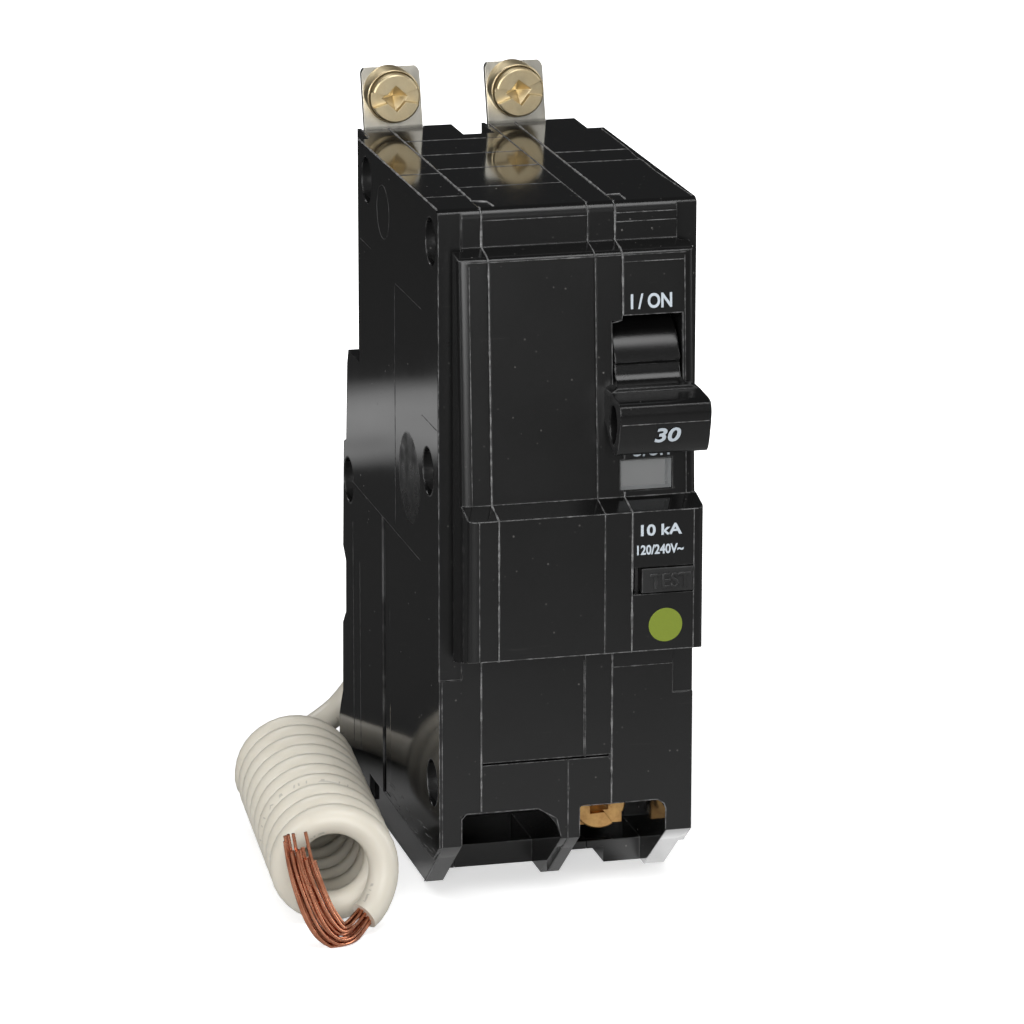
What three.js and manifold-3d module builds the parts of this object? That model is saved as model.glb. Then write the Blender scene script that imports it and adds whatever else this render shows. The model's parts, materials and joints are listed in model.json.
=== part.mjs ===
// A two-pole ground-fault circuit breaker with a bolt-on line end and a coiled pigtail.
// Millimetres, +Z up. The handle faces -Y, the line tabs are at the top and the part
// stands on its load end. The origin is the middle of the footprint, on the floor.

import * as THREE from 'three';
import { mergeVertices } from 'three/addons/utils/BufferGeometryUtils.js';
import Module from 'manifold-3d';

const wasm = await Module();
wasm.setup();

// ---------------------------------------------------------------- driving dimensions

const CASE_WIDTH = 38.1; // two pole spaces of 19.05
const CASE_HEIGHT = 104.1; // feet to the top of the case
const CASE_DEPTH = 51.4; // front face to the back of the upper case
const WALL = 1.8;
const SIDE_WALL = 1.6;
const SEAM_GAP = 0.1; // between two mouldings
const CLEARANCE = 0.3; // around a piece that passes through or sits in another
const CONTACT_GAP = 0.1; // between pieces that are fixed face to face

const COVER_THICKNESS = 6.3; // left cover, across the breaker
const CENTRE_THICKNESS = 4.03;
const RIGHT_THICKNESS = 12.18;
const FOOT_BACK = 67.4; // front face to the heel of the mounting foot
const TONGUE_REACH = 7.8; // the line end stands this far behind the upper case

const NOSE_WIDTH_LEFT = CASE_WIDTH / 2 - 1.85; // flanks of the nose, each side of the middle
const NOSE_WIDTH_RIGHT = CASE_WIDTH / 2 - 1.55;
const UPPER_NOSE_TOP = 4.3; // how far the nose stands out, at its top
const UPPER_NOSE_FOOT = 6.3; // and at its lower end
const LOWER_NOSE = 10.6;

const HUB_RADIUS = 7.5;
const HANDLE_WIDTH = 13.4;
const HANDLE_PIN_RADIUS = 1.6;
const WINDOW_WIDTH = 10.38;
const WINDOW_HEIGHT = 17.1;

const RIVET_RADIUS = 1.5;
const RIVET_HEAD_RADIUS = 3.1;
const RIVET_RECESS_RADIUS = 3.5;
const RIVET_RECESS_DEPTH = 2.6;

const TAB_WIDTH = 9;
const TAB_THICKNESS = 1;
const TAB_HEIGHT = 9.1; // above the case
const TAB_LEAN = 15.6; // degrees back from upright
const LINE_SCREW_RADIUS = 2.4;
const LINE_HEAD_RADIUS = 3.7;
const LOAD_SCREW_RADIUS = 2.4;
const LOAD_HEAD_RADIUS = 4;

const ARM_LENGTH = 33; // crossbar to the tip of a contact arm
const ARM_THICKNESS = 3;
const ARM_LEAN = 11; // degrees back from upright when closed
const ARM_SWING = 22; // degrees from closed to open
const CROSSBAR_RADIUS = 3;
const TRIP_BAR_RADIUS = 1.4;

const WIRE_DIAMETER = 4.4;
const COIL_RADIUS = 9.24; // outside of the wound pigtail
const COIL_LENGTH = 50.4;
const COIL_YAW = 4.7; // degrees

// ---------------------------------------------------------------- places that follow

const HALF = CASE_WIDTH / 2;
const coverSeam = -HALF + COVER_THICKNESS;
const rightSeam = HALF - RIGHT_THICKNESS;
const centreSeam = rightSeam - CENTRE_THICKNESS;
const legSeam = centreSeam - 2.54;
const footSeamTop = 21.5; // height where the centre parting line steps sideways

const lineBack = CASE_DEPTH + TONGUE_REACH;
const foldHeight = 9.25; // the front face slants back to the toe below this
const toeDepth = 11.9;

const handleX = rightSeam + 3.51;
const handleY = 2;
const handleZ = CASE_HEIGHT - 24.05;
const noseTop = CASE_HEIGHT - 5.55;
const noseStep = handleZ - 17.8;
const noseBottom = noseStep - 21.9;

const leftTabX = -HALF + 7.05;
const rightTabX = rightSeam + 0.33;
const leftArmX = leftTabX;
const rightArmX = rightTabX + 1.3;
const barY = 40;
const barZ = handleZ - 28;
const tripY = 20;
const tripZ = handleZ - 20;

const shelfZ = 24.3; // where a load strap carries its bimetal
const bimetalY = 26.6;
const pocketTop = 14.1;
const pocketRoof = 11.6 + LOAD_HEAD_RADIUS;
const sillTop = 3.5;
const roomFloor = 17.4; // floor of the inside, over the terminals
const leftPocket = { x0: -HALF + 3.35, x1: legSeam - 1.06, depth: 30, sill: 17 };
const rightPocket = { x0: legSeam + 1.75, x1: HALF - 3.85, depth: 24, sill: 14.2 };

const handleFront = 14.2; // the handle's nose, in front of the case, when it is off
const originY = (FOOT_BACK - handleFront) / 2;

// ---------------------------------------------------------------- helpers

const model = new THREE.Group();
model.position.y = -originY;
const degrees = THREE.MathUtils.degToRad;

function toSolid(geometry) {
  const bare = geometry.clone();
  bare.deleteAttribute('normal');
  bare.deleteAttribute('uv');
  const merged = mergeVertices(bare, 1e-4);
  return new wasm.Manifold(new wasm.Mesh({
    numProp: 3,
    vertProperties: merged.attributes.position.array,
    triVerts: new Uint32Array(merged.index.array),
  }));
}

function toGeometry(solid) {
  const mesh = solid.getMesh();
  const geometry = new THREE.BufferGeometry();
  geometry.setAttribute('position', new THREE.BufferAttribute(mesh.vertProperties, 3));
  geometry.setIndex(new THREE.BufferAttribute(mesh.triVerts, 1));
  geometry.computeVertexNormals();
  return geometry;
}

function join(first, ...others) {
  return others.reduce((sum, solid) => sum.add(solid), first);
}

function cut(first, ...others) {
  return others.reduce((rest, solid) => rest.subtract(solid), first);
}

function outline(points) {
  return new THREE.Shape(points.map(([a, b]) => new THREE.Vector2(a, b)));
}

const toX = new THREE.Matrix4().makeBasis(
  new THREE.Vector3(0, 1, 0),
  new THREE.Vector3(0, 0, 1),
  new THREE.Vector3(1, 0, 0),
);
const toY = new THREE.Matrix4().makeBasis(
  new THREE.Vector3(1, 0, 0),
  new THREE.Vector3(0, 0, 1),
  new THREE.Vector3(0, -1, 0),
);

function extrude(shape, length, curveSegments) {
  return new THREE.ExtrudeGeometry(shape, { depth: length, bevelEnabled: false, curveSegments });
}

// A (y, z) outline between two values of x.
function alongX(shape, x0, x1, curveSegments = 4) {
  const geometry = extrude(shape, x1 - x0, curveSegments).applyMatrix4(toX);
  return toSolid(geometry.translate(x0, 0, 0));
}

// An (x, z) outline between two values of y.
function alongY(shape, y0, y1, curveSegments = 4) {
  const geometry = extrude(shape, y1 - y0, curveSegments).applyMatrix4(toY);
  return toSolid(geometry.translate(0, y1, 0));
}

function box(x0, x1, y0, y1, z0, z1) {
  const geometry = new THREE.BoxGeometry(x1 - x0, y1 - y0, z1 - z0);
  return toSolid(geometry.translate((x0 + x1) / 2, (y0 + y1) / 2, (z0 + z1) / 2));
}

function rodX(y, z, radius, x0, x1, sides = 20) {
  const geometry = new THREE.CylinderGeometry(radius, radius, x1 - x0, sides);
  geometry.rotateZ(-Math.PI / 2);
  return toSolid(geometry.translate((x0 + x1) / 2, y, z));
}

function rodY(x, z, radius, y0, y1, sides = 20) {
  const geometry = new THREE.CylinderGeometry(radius, radius, y1 - y0, sides);
  return toSolid(geometry.translate(x, (y0 + y1) / 2, z));
}

// A closed ring or turned body whose profile is (radius, distance along its axis).
function turned(profile, sides = 24) {
  const points = profile.map(([radius, along]) => new THREE.Vector2(radius, along));
  return toSolid(new THREE.LatheGeometry(points, sides));
}

function ring(inner, outer, length, sides = 24) {
  return turned([[inner, 0], [outer, 0], [outer, length], [inner, length], [inner, 0]], sides);
}

function tube(points, radius, sides, steps) {
  const path = new THREE.CatmullRomCurve3(points, false, 'centripetal');
  const section = new THREE.Shape();
  section.absarc(0, 0, radius, 0, 2 * Math.PI, false);
  const geometry = new THREE.ExtrudeGeometry(section, {
    steps,
    curveSegments: sides / 2,
    bevelEnabled: false,
    extrudePath: path,
  });
  return toSolid(geometry);
}

function helix(start, end, radius, wireRadius, turns) {
  const axis = end.clone().sub(start);
  const along = axis.clone().normalize();
  const side = new THREE.Vector3(1, 0, 0);
  const up = along.clone().cross(side).normalize();
  const out = up.clone().cross(along).normalize();
  const stepsPerTurn = 8;
  const count = turns * stepsPerTurn;
  const points = Array.from({ length: count + 1 }, (_, i) => {
    const turn = (2 * Math.PI * i) / stepsPerTurn;
    return start.clone()
      .addScaledVector(axis, i / count)
      .addScaledVector(out, radius * Math.cos(turn))
      .addScaledVector(up, radius * Math.sin(turn));
  });
  return tube(points, wireRadius, 4, count);
}

function add(name, solid, [color, roughness, metalness], parent = model) {
  const material = new THREE.MeshStandardMaterial({ color, roughness, metalness });
  const mesh = new THREE.Mesh(toGeometry(solid), material);
  mesh.name = name;
  parent.add(mesh);
  return mesh;
}

const PHENOLIC = [0x141416, 0.28, 0];
const CLEAR = [0xe8ecee, 0.08, 0];
const FLAG = [0xe9e7e0, 0.5, 0];
const TINNED = [0xb9b7b0, 0.32, 1];
const BRASS = [0xc9a455, 0.3, 1];
const COPPER = [0xb4663f, 0.35, 1];
const SILVER = [0xd6d6d2, 0.3, 1];
const STEEL = [0x9a9c9e, 0.35, 1];
const DARK_STEEL = [0x5c5e60, 0.45, 1];
const FIBRE = [0x6a5a48, 0.8, 0];
const BOARD = [0x2f6b3c, 0.5, 0];
const FERRITE = [0x4a4c50, 0.6, 0.1];
const CERAMIC = [0x2f5fa0, 0.5, 0];
const JACKET = [0xdcd7cb, 0.42, 0];

// ---------------------------------------------------------------- the case

const rivetPlaces = [
  [4.5, CASE_HEIGHT - 5.35],
  [CASE_DEPTH - 5.65, CASE_HEIGHT - 5],
  [6.5, handleZ - 15.6],
  [59.4, 49.2],
  [4.4, 17.9],
];

function caseOutline() {
  const shape = new THREE.Shape();
  const edge = 1.4;
  shape.moveTo(0, foldHeight);
  shape.lineTo(0, CASE_HEIGHT - edge);
  shape.absarc(edge, CASE_HEIGHT - edge, edge, Math.PI, Math.PI / 2, true);
  const back = [
    [lineBack, CASE_HEIGHT],
    [lineBack, 69.85],
    [60.1, 67.55],
    [61.2, 55.25],
    [63, 54.45],
    [63.9, 37.55],
    [61.9, 35.65],
    [62.1, 27.35],
    [64.4, 24.95],
    [64.7, 13.75],
    [FOOT_BACK, 9.35],
    [FOOT_BACK, 5.5],
    [FOOT_BACK - 1.7, 4.95],
    [46, 1.75],
    [40, 0],
    [toeDepth, 0],
  ];
  back.forEach(([y, z]) => shape.lineTo(y, z));
  return shape;
}

// The inside of the case, without the line tongues and the nose.
function roomOutline() {
  return outline([
    [WALL, roomFloor],
    [31.8, roomFloor],
    [33.8, roomFloor - 4],
    [33.8, 4.9],
    [38, 4.9],
    [58.8, 8.3],
    [59.9, 12],
    [59.9, 52],
    [58.2, 56],
    [58.2, 66],
    [CASE_DEPTH - WALL, 70],
    [CASE_DEPTH - WALL, CASE_HEIGHT - WALL],
    [WALL, CASE_HEIGHT - WALL],
  ]);
}

// Plan of a nose: straight flanks and softly rounded front corners, front face at y = 0.
function nosePlan(depth) {
  const round = 1.6;
  const soft = 0.9;
  const shape = new THREE.Shape();
  shape.moveTo(-NOSE_WIDTH_LEFT, depth);
  shape.lineTo(-NOSE_WIDTH_LEFT, soft);
  shape.quadraticCurveTo(-NOSE_WIDTH_LEFT, 0, -NOSE_WIDTH_LEFT + round, 0);
  shape.lineTo(NOSE_WIDTH_RIGHT - round, 0);
  shape.quadraticCurveTo(NOSE_WIDTH_RIGHT, 0, NOSE_WIDTH_RIGHT, soft);
  shape.lineTo(NOSE_WIDTH_RIGHT, depth);
  return shape;
}

function noseBody() {
  const rise = noseTop - noseStep;
  const upperPlan = extrude(nosePlan(8), rise + 4, 5);
  const slope = (UPPER_NOSE_FOOT - UPPER_NOSE_TOP) / (rise - 1);
  upperPlan.applyMatrix4(new THREE.Matrix4().set(
    1, 0, 0, 0,
    0, 1, slope, -UPPER_NOSE_FOOT,
    0, 0, 1, noseStep - 2,
    0, 0, 0, 1,
  ));
  const upperSide = outline([
    [1, noseStep - 2],
    [-9, noseStep - 2],
    [-9, noseTop - 2.6],
    [-UPPER_NOSE_TOP, noseTop - 1.5],
    [-UPPER_NOSE_TOP + 0.35, noseTop - 0.9],
    [-UPPER_NOSE_TOP + 1, noseTop - 0.6],
    [0, noseTop],
    [1, noseTop],
  ]);
  const upper = toSolid(upperPlan).intersect(alongX(upperSide, -HALF, HALF));
  const lowerPlan = extrude(nosePlan(LOWER_NOSE + 1), noseStep - noseBottom + 6, 5);
  lowerPlan.translate(0, -LOWER_NOSE, noseBottom - 4);
  const lowerSide = outline([
    [1, noseStep],
    [-UPPER_NOSE_FOOT, noseStep],
    [-LOWER_NOSE, noseStep - 1.1],
    [-LOWER_NOSE, noseBottom],
    [0, noseBottom - 2.8],
    [1, noseBottom - 2.8],
  ]);
  const lower = toSolid(lowerPlan).intersect(alongX(lowerSide, -HALF, HALF));
  return join(upper, lower);
}

function noseRoom() {
  const side = outline([
    [WALL + 1, noseBottom],
    [-LOWER_NOSE + WALL, noseBottom + 1.9],
    [-LOWER_NOSE + WALL, noseStep - 2.6],
    [-UPPER_NOSE_FOOT + WALL, noseStep - 1.9],
    [-UPPER_NOSE_TOP + WALL, noseTop - 2.4],
    [WALL + 1, noseTop - 2.2],
  ]);
  return alongX(side, -NOSE_WIDTH_LEFT + WALL, NOSE_WIDTH_RIGHT - 1.9);
}

const windowBottom = handleZ - WINDOW_HEIGHT / 2;
const windowLeft = handleX - WINDOW_WIDTH / 2;
const windowRight = handleX + WINDOW_WIDTH / 2;
const lens = { x0: rightSeam - 0.7, x1: rightSeam + 7.08, z0: noseStep + 0.85, z1: noseStep + 5.45 };
const button = { x0: rightSeam + 1.4, x1: rightSeam + 9, z0: noseStep - 13.2, z1: noseStep - 9.6 };

function noseOpenings() {
  const front = -12;
  const inside = WALL + 0.5;
  return join(
    box(windowLeft, rightSeam, front, inside, windowBottom, handleZ + WINDOW_HEIGHT / 2 - 0.7),
    box(rightSeam - 0.2, windowRight, front, inside, windowBottom, handleZ + WINDOW_HEIGHT / 2),
    box(lens.x0, lens.x1, front, -1, lens.z0, lens.z1),
    box(rightSeam + 0.1, button.x1 + 0.2, front, -5, button.z0 - 0.2, button.z1 + 0.2),
  );
}

// A terminal pocket: open at the front and below, with a sill behind the feet.
function pocket({ x0, x1, depth, sill }, corner) {
  const mouth = new THREE.Shape();
  mouth.moveTo(x0, -1);
  mouth.lineTo(x0, pocketTop - 0.8);
  mouth.quadraticCurveTo(x0, pocketTop, x0 + 0.8, pocketTop);
  mouth.lineTo(x1 - corner, pocketTop);
  mouth.quadraticCurveTo(x1 - corner * 0.2, pocketTop - corner * 0.5, x1, pocketTop - corner * 1.3);
  mouth.lineTo(x1, -1);
  return join(
    alongY(mouth, -1, sill, 5),
    box(x0, x1, WALL, depth, sillTop, pocketRoof),
  );
}

function rivetCuts() {
  const reach = HALF + 1;
  return rivetPlaces.map(([y, z]) => join(
    rodX(y, z, RIVET_RADIUS + CLEARANCE, -reach, reach, 12),
    rodX(y, z, RIVET_RECESS_RADIUS, -reach, -HALF + RIVET_RECESS_DEPTH, 24),
    rodX(y, z, RIVET_RECESS_RADIUS, HALF - RIVET_RECESS_DEPTH, reach, 24),
  ));
}

function rivetBosses(x0, x1) {
  const thickness = 1.1;
  const boss = RIVET_RECESS_RADIUS + thickness;
  return rivetPlaces.map(([y, z]) => rodX(y, z, boss, x0, x1, 20));
}

// The whole case as one outside shape, before it is parted into mouldings.
function caseBlank() {
  const back = lineBack + 1;
  const tongueFoot = 69.85;
  const over = CASE_HEIGHT + 1;
  const rim = 0.3;
  const rimLeft = 34.6;
  const rimRight = 30.4;
  const bottomRim = 0.75;
  return cut(
    join(alongX(caseOutline(), -HALF, HALF, 4), noseBody()),
    box(-HALF - 1, -HALF + 1.65, CASE_DEPTH, back, tongueFoot, over),
    box(HALF - 2.55, HALF + 1, CASE_DEPTH, back, tongueFoot, over),
    box(legSeam - 3.1, legSeam + 1.6, CASE_DEPTH, back, tongueFoot, over),
    box(-HALF - 1, -HALF + 3.4, -1, rim, rimLeft, over),
    box(HALF - 3, HALF + 1, -1, rim, rimRight, over),
    box(-HALF - 1, -HALF + bottomRim, -1, 46, -1, 6.05),
    box(HALF - bottomRim, HALF + 1, -1, 46, -1, 6.05),
    box(-HALF - 1, -HALF + 0.25, 31.7, 36.7, -1, 49.6),
  );
}

const tongueRooms = [
  { x0: -HALF + 3.05, x1: legSeam - 4.6 },
  { x0: centreSeam + 1.36, x1: HALF - 4.05 },
];

function linePassages() {
  const tall = CASE_HEIGHT + 1;
  const slotZ = CASE_HEIGHT - 13;
  const skin = TAB_THICKNESS + CLEARANCE;
  return join(...lineStraps.map(({ x, inner0, inner1 }) => join(
    box(x - TAB_WIDTH / 2 - CLEARANCE, x + TAB_WIDTH / 2 + CLEARANCE,
      lineBack - skin, lineBack + 1, slotZ - CLEARANCE, tall),
    box(inner0 - CLEARANCE, inner1 + CLEARANCE,
      lineBack - 4, lineBack - 0.5, slotZ - CLEARANCE, slotZ + TAB_THICKNESS + CLEARANCE),
  )));
}

const lineStraps = [
  { side: 'left', x: leftTabX, inner0: leftTabX - 3.6, inner1: leftTabX + 3.8, armX: leftArmX },
  { side: 'right', x: rightTabX, inner0: centreSeam + 1.7, inner1: rightTabX + 4.3, armX: rightArmX },
];

const loads = [
  { side: 'left', x: leftTabX + 1.8, y: 20, z: 11.3, armX: leftArmX, slot: 25, pocket: leftPocket },
  { side: 'right', x: rightTabX + 1.7, y: 14, z: 9.4, armX: rightArmX, slot: -40, pocket: rightPocket },
];
const strapOffset = 5.6; // the load strap stands this far behind the face of its screw
const strapHalf = 3.6;

function loadPassages() {
  return join(...loads.map(({ x, y }) => box(
    x - strapHalf - CLEARANCE, x + strapHalf + CLEARANCE,
    y + strapOffset - CLEARANCE, y + strapOffset + 1.2 + CLEARANCE,
    sillTop + 1, roomFloor + 0.5,
  )));
}

const glandX = -9;
const glandZ = 19.3;
const glandY = 64.55;

function makeCase() {
  const blank = caseBlank();
  const tall = CASE_HEIGHT - WALL;
  const common = [
    ...rivetCuts(),
    pocket(leftPocket, 3.4),
    pocket(rightPocket, 1.2),
    box(rightPocket.x0, rightPocket.x0 + 7.5, 13, 32, -1, 2.3),
    linePassages(),
    loadPassages(),
    rodX(barY, barZ, CROSSBAR_RADIUS + CLEARANCE, coverSeam, rightSeam, 24),
    rodX(handleY, handleZ, HANDLE_PIN_RADIUS + CLEARANCE, centreSeam + 1.36, HALF - SIDE_WALL, 16),
    rodX(tripY, tripZ, TRIP_BAR_RADIUS + CLEARANCE, coverSeam, rightSeam, 16),
    rodX(cradleY, cradleZ, CRADLE_SHAFT_RADIUS + CLEARANCE, coverSeam, rightSeam, 16),
    box(coverSeam, rightSeam - 0.45, -1, 1.2, footSeamTop - 0.15, footSeamTop + 0.15),
    rodY(glandX, glandZ, GLAND_RADIUS + CLEARANCE, 58, 70, 20),
  ];
  const slice = (x0, x1) => blank.intersect(box(x0, x1, -20, 80, -1, CASE_HEIGHT + 1));
  const room = (x0, x1) => alongX(roomOutline(), x0, x1);
  const tongue = ({ x0, x1 }) => box(x0, x1, CASE_DEPTH - 4, lineBack - 2.3, 71.5, tall);
  const insideLeft = -HALF + SIDE_WALL;
  const insideRight = HALF - SIDE_WALL;
  const half = SEAM_GAP / 2;
  const low = box(legSeam - half, centreSeam + 3, -20, 80, -1, footSeamTop + half);
  const high = box(legSeam - 3, centreSeam + half, -20, 80, footSeamTop - half, CASE_HEIGHT + 1);
  const middleWall = centreSeam - 1.34;
  const partition = centreSeam + 1.36;

  const hollowLeft = cut(
    join(room(insideLeft, coverSeam), tongue(tongueRooms[0]), noseRoom()),
    ...rivetBosses(-HALF, coverSeam),
  );
  const hollowMiddle = join(
    room(coverSeam - 1, middleWall),
    tongue(tongueRooms[0]),
    noseRoom().intersect(box(-HALF, middleWall, -20, 20, 0, CASE_HEIGHT)),
  );
  const hollowCentre = join(
    room(partition, rightSeam + 1),
    tongue(tongueRooms[1]),
    noseRoom().intersect(box(partition, HALF, -20, 20, 0, CASE_HEIGHT)),
  );
  const hollowRight = cut(
    join(room(rightSeam - 1, insideRight), tongue(tongueRooms[1]), noseRoom()),
    ...rivetBosses(rightSeam + 6, HALF),
  );

  add('left_cover', cut(slice(-HALF, coverSeam - half), hollowLeft, ...common), PHENOLIC);
  add('middle_case', cut(slice(coverSeam + half, centreSeam - half), hollowMiddle, low, ...common), PHENOLIC);
  const centre = cut(slice(legSeam + half, rightSeam - half), hollowCentre, high, noseOpenings(), ...common);
  add('centre_case', centre, PHENOLIC);
  const right = cut(slice(rightSeam + half, HALF), hollowRight, noseOpenings(), ...common);
  add('right_case', right, PHENOLIC);
}

function makeRivets() {
  rivetPlaces.forEach(([y, z], i) => {
    const headThickness = 0.9;
    const seat = HALF - RIVET_RECESS_DEPTH + CONTACT_GAP;
    const rivet = join(
      rodX(y, z, RIVET_RADIUS, -seat - 0.5, seat + 0.5, 12),
      rodX(y, z, RIVET_HEAD_RADIUS, -seat - headThickness, -seat, 20),
      rodX(y, z, RIVET_HEAD_RADIUS, seat, seat + headThickness, 20),
    );
    add(`case_rivet_${i + 1}`, rivet, STEEL);
  });
}

// ---------------------------------------------------------------- handle

function makeHandle() {
  const half = HANDLE_WIDTH / 2;
  const left = handleX - half + 0.32;
  const right = left + HANDLE_WIDTH;
  const hubHalf = WINDOW_WIDTH / 2 - 0.4;
  const paddle = new THREE.Shape();
  paddle.moveTo(-7.6, handleZ - 1);
  paddle.lineTo(-9.6, handleZ - 1.75);
  paddle.lineTo(-12.3, handleZ - 2.1);
  paddle.quadraticCurveTo(-handleFront, handleZ - 2.2, -handleFront, handleZ - 3.8);
  paddle.lineTo(-13.9, handleZ - 6);
  paddle.lineTo(-12.9, handleZ - 8.6);
  paddle.quadraticCurveTo(-12.3, handleZ - 10.1, -10.6, handleZ - 10.1);
  paddle.lineTo(-9.9, handleZ - 10);
  paddle.lineTo(-6.6, handleZ - 6.9);
  paddle.lineTo(-6.8, handleZ - 4.5);
  const shank = outline([
    [handleY - 6, handleZ + 4],
    [-5.3, handleZ + 1.9],
    [-6.3, handleZ + 0.2],
    [-7.7, handleZ - 0.9],
    [-9, handleZ - 2],
    [-9, handleZ - 6],
    [-6.6, handleZ - 6.8],
    [-4.2, handleZ - 4.6],
    [handleY - 2, handleZ - 3],
  ]);
  const hollow = new THREE.Shape();
  hollow.absellipse(-10.2, handleZ - 5.9, 1.9, 2.7, 0, 2 * Math.PI, false, 0.25);
  const handle = cut(
    join(
      rodX(handleY, handleZ, HUB_RADIUS, handleX - hubHalf, handleX + hubHalf, 48),
      alongX(shank, handleX - hubHalf + 0.3, handleX + hubHalf - 0.3),
      alongX(paddle, left, right, 6),
    ),
    rodX(handleY, handleZ, HANDLE_PIN_RADIUS + CLEARANCE, -HALF, HALF, 16),
    alongX(hollow, left - 1, left + 3.2, 8),
    alongX(hollow, right - 3.2, right + 1, 8),
  );
  add('handle', handle, PHENOLIC);
  const pin = rodX(handleY, handleZ, HANDLE_PIN_RADIUS, centreSeam + 1.66, HALF - SIDE_WALL - 0.3, 16);
  add('handle_pin', pin, STEEL);
}

// ---------------------------------------------------------------- test button and trip window

const testPlateY = -2.2;

function makeTestButton() {
  const face = -LOWER_NOSE - 0.15;
  const innerWall = -LOWER_NOSE + WALL;
  const middleX = (button.x0 + button.x1) / 2;
  const middleZ = (button.z0 + button.z1) / 2;
  const lip = 0.5;
  const pressed = join(
    box(button.x0, button.x1, face, innerWall + 0.8, button.z0, button.z1),
    box(button.x0 - lip, button.x1 - 0.4, innerWall + CLEARANCE, innerWall + 1.3,
      button.z0 - 1, button.z1 + 1),
    rodY(middleX, middleZ, 1.2, innerWall + 1, innerWall + 4, 12),
  );
  add('test_button', pressed, PHENOLIC);
  const plate = box(button.x0 + 0.3, button.x1 - 0.6, testPlateY, testPlateY + 0.5,
    button.z0 - 3, button.z1 + 3);
  add('test_contact', plate, COPPER);
  const spring = helix(
    new THREE.Vector3(middleX, innerWall + 1.3 + 0.35, middleZ),
    new THREE.Vector3(middleX, testPlateY - 0.35, middleZ),
    1.9, 0.2, 4,
  );
  add('test_spring', spring, STEEL);
}

function makeTripWindow() {
  const gap = 0.15;
  const face = UPPER_NOSE_FOOT - 0.25;
  const clear = box(lens.x0 + gap, lens.x1 - gap, -face, -face + 1.9, lens.z0 + gap, lens.z1 - gap);
  add('trip_window', clear, CLEAR);
  const flagBack = -2.8;
  const flag = box(lens.x0 + 0.5, lens.x1 - 0.4, flagBack - 0.8, flagBack, lens.z0 - 4.6, lens.z1 + 0.3);
  add('trip_flag', flag, FLAG);
}

// ---------------------------------------------------------------- screws

// A screw along +y with the middle of its face at the origin, slotted at an angle.
function slottedScrew(headRadius, headThickness, shankRadius, length, slotDegrees) {
  const slotDepth = 0.9;
  const slot = new THREE.BoxGeometry(headRadius * 3, 2 * slotDepth, 1.3);
  slot.rotateY(degrees(slotDegrees));
  const square = new THREE.BoxGeometry(headRadius * 0.72, 2.6, headRadius * 0.72);
  square.rotateY(degrees(slotDegrees + 45));
  return cut(
    join(
      rodY(0, 0, headRadius, 0, headThickness, 32),
      rodY(0, 0, shankRadius, headThickness / 2, length, 16),
    ),
    toSolid(slot),
    toSolid(square),
  );
}

// ---------------------------------------------------------------- line end

function makeLineEnd() {
  const lean = degrees(TAB_LEAN);
  const slotZ = CASE_HEIGHT - 13;
  const front = lineBack - TAB_THICKNESS - 0.15;
  const inner = lineBack - 6.2;
  const innerFoot = barZ + 26;
  const reach = TAB_HEIGHT - 0.4;
  const topY = reach * Math.tan(lean);
  lineStraps.forEach(({ side, x, inner0, inner1, armX }) => {
    const bend = outline([
      [inner, innerFoot],
      [inner, slotZ + TAB_THICKNESS],
      [front, slotZ + TAB_THICKNESS],
      [front, CASE_HEIGHT + 0.4],
      [front + topY, CASE_HEIGHT + TAB_HEIGHT],
      [front + topY + TAB_THICKNESS, CASE_HEIGHT + TAB_HEIGHT - 0.25],
      [front + TAB_THICKNESS, CASE_HEIGHT + 0.25],
      [front + TAB_THICKNESS, slotZ],
      [inner + TAB_THICKNESS, slotZ],
      [inner + TAB_THICKNESS, innerFoot],
    ]);
    const corner = 1.2;
    const half = TAB_WIDTH / 2;
    const top = CASE_HEIGHT + TAB_HEIGHT + 0.01;
    const face = new THREE.Shape();
    face.moveTo(x - half, slotZ - 1);
    face.lineTo(x + half, slotZ - 1);
    face.lineTo(x + half, top - corner);
    face.absarc(x + half - corner, top - corner, corner, 0, Math.PI / 2, false);
    face.lineTo(x - half + corner, top);
    face.absarc(x - half + corner, top - corner, corner, Math.PI / 2, Math.PI, false);
    const outer = alongX(bend, x - half, x + half).intersect(alongY(face, front, lineBack + 9, 3));
    const innerStrap = alongX(bend, inner0, inner1).intersect(
      box(inner0, inner1, inner - 1, front + 0.5, innerFoot - 1, slotZ + TAB_THICKNESS),
    );
    const screwX = x - 0.3;
    const holeZ = CASE_HEIGHT + 5.2;
    const slope = Math.tan(lean);
    const holeY = front + (holeZ - CASE_HEIGHT - 0.4) * slope;
    const collarRadius = 4.15;
    const collarFront = holeY - 2.6;
    const ahead = outline([
      [holeY - 9, holeZ - 8],
      [holeY - 9, holeZ + 8],
      [holeY + 0.5 + 8 * slope, holeZ + 8],
      [holeY + 0.5 - 8 * slope, holeZ - 8],
    ]);
    const collar = rodY(screwX, holeZ, collarRadius, collarFront, holeY + 4, 28).intersect(
      alongX(ahead, x - 9, x + 9),
    );
    const bore = rodY(screwX, holeZ, LINE_SCREW_RADIUS + 0.35, holeY - 9, holeY + 9, 20);
    add(`line_tab_${side}`, cut(join(outer, innerStrap, collar), bore), TINNED);

    const screw = new THREE.Group();
    const headThickness = 1.5;
    screw.position.set(screwX, collarFront - 0.45 - headThickness, holeZ);
    const body = slottedScrew(LINE_HEAD_RADIUS, headThickness, LINE_SCREW_RADIUS, 9.5, 4);
    add(`line_screw_${side}`, body, BRASS, screw);
    model.add(screw);

    const contactZ = barZ + ARM_LENGTH - 4;
    const contact = rodY(armX, contactZ, 2.2, inner - 1.5, inner - CONTACT_GAP, 20);
    add(`fixed_contact_${side}`, contact, SILVER);
  });
}

// ---------------------------------------------------------------- contacts

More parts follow.
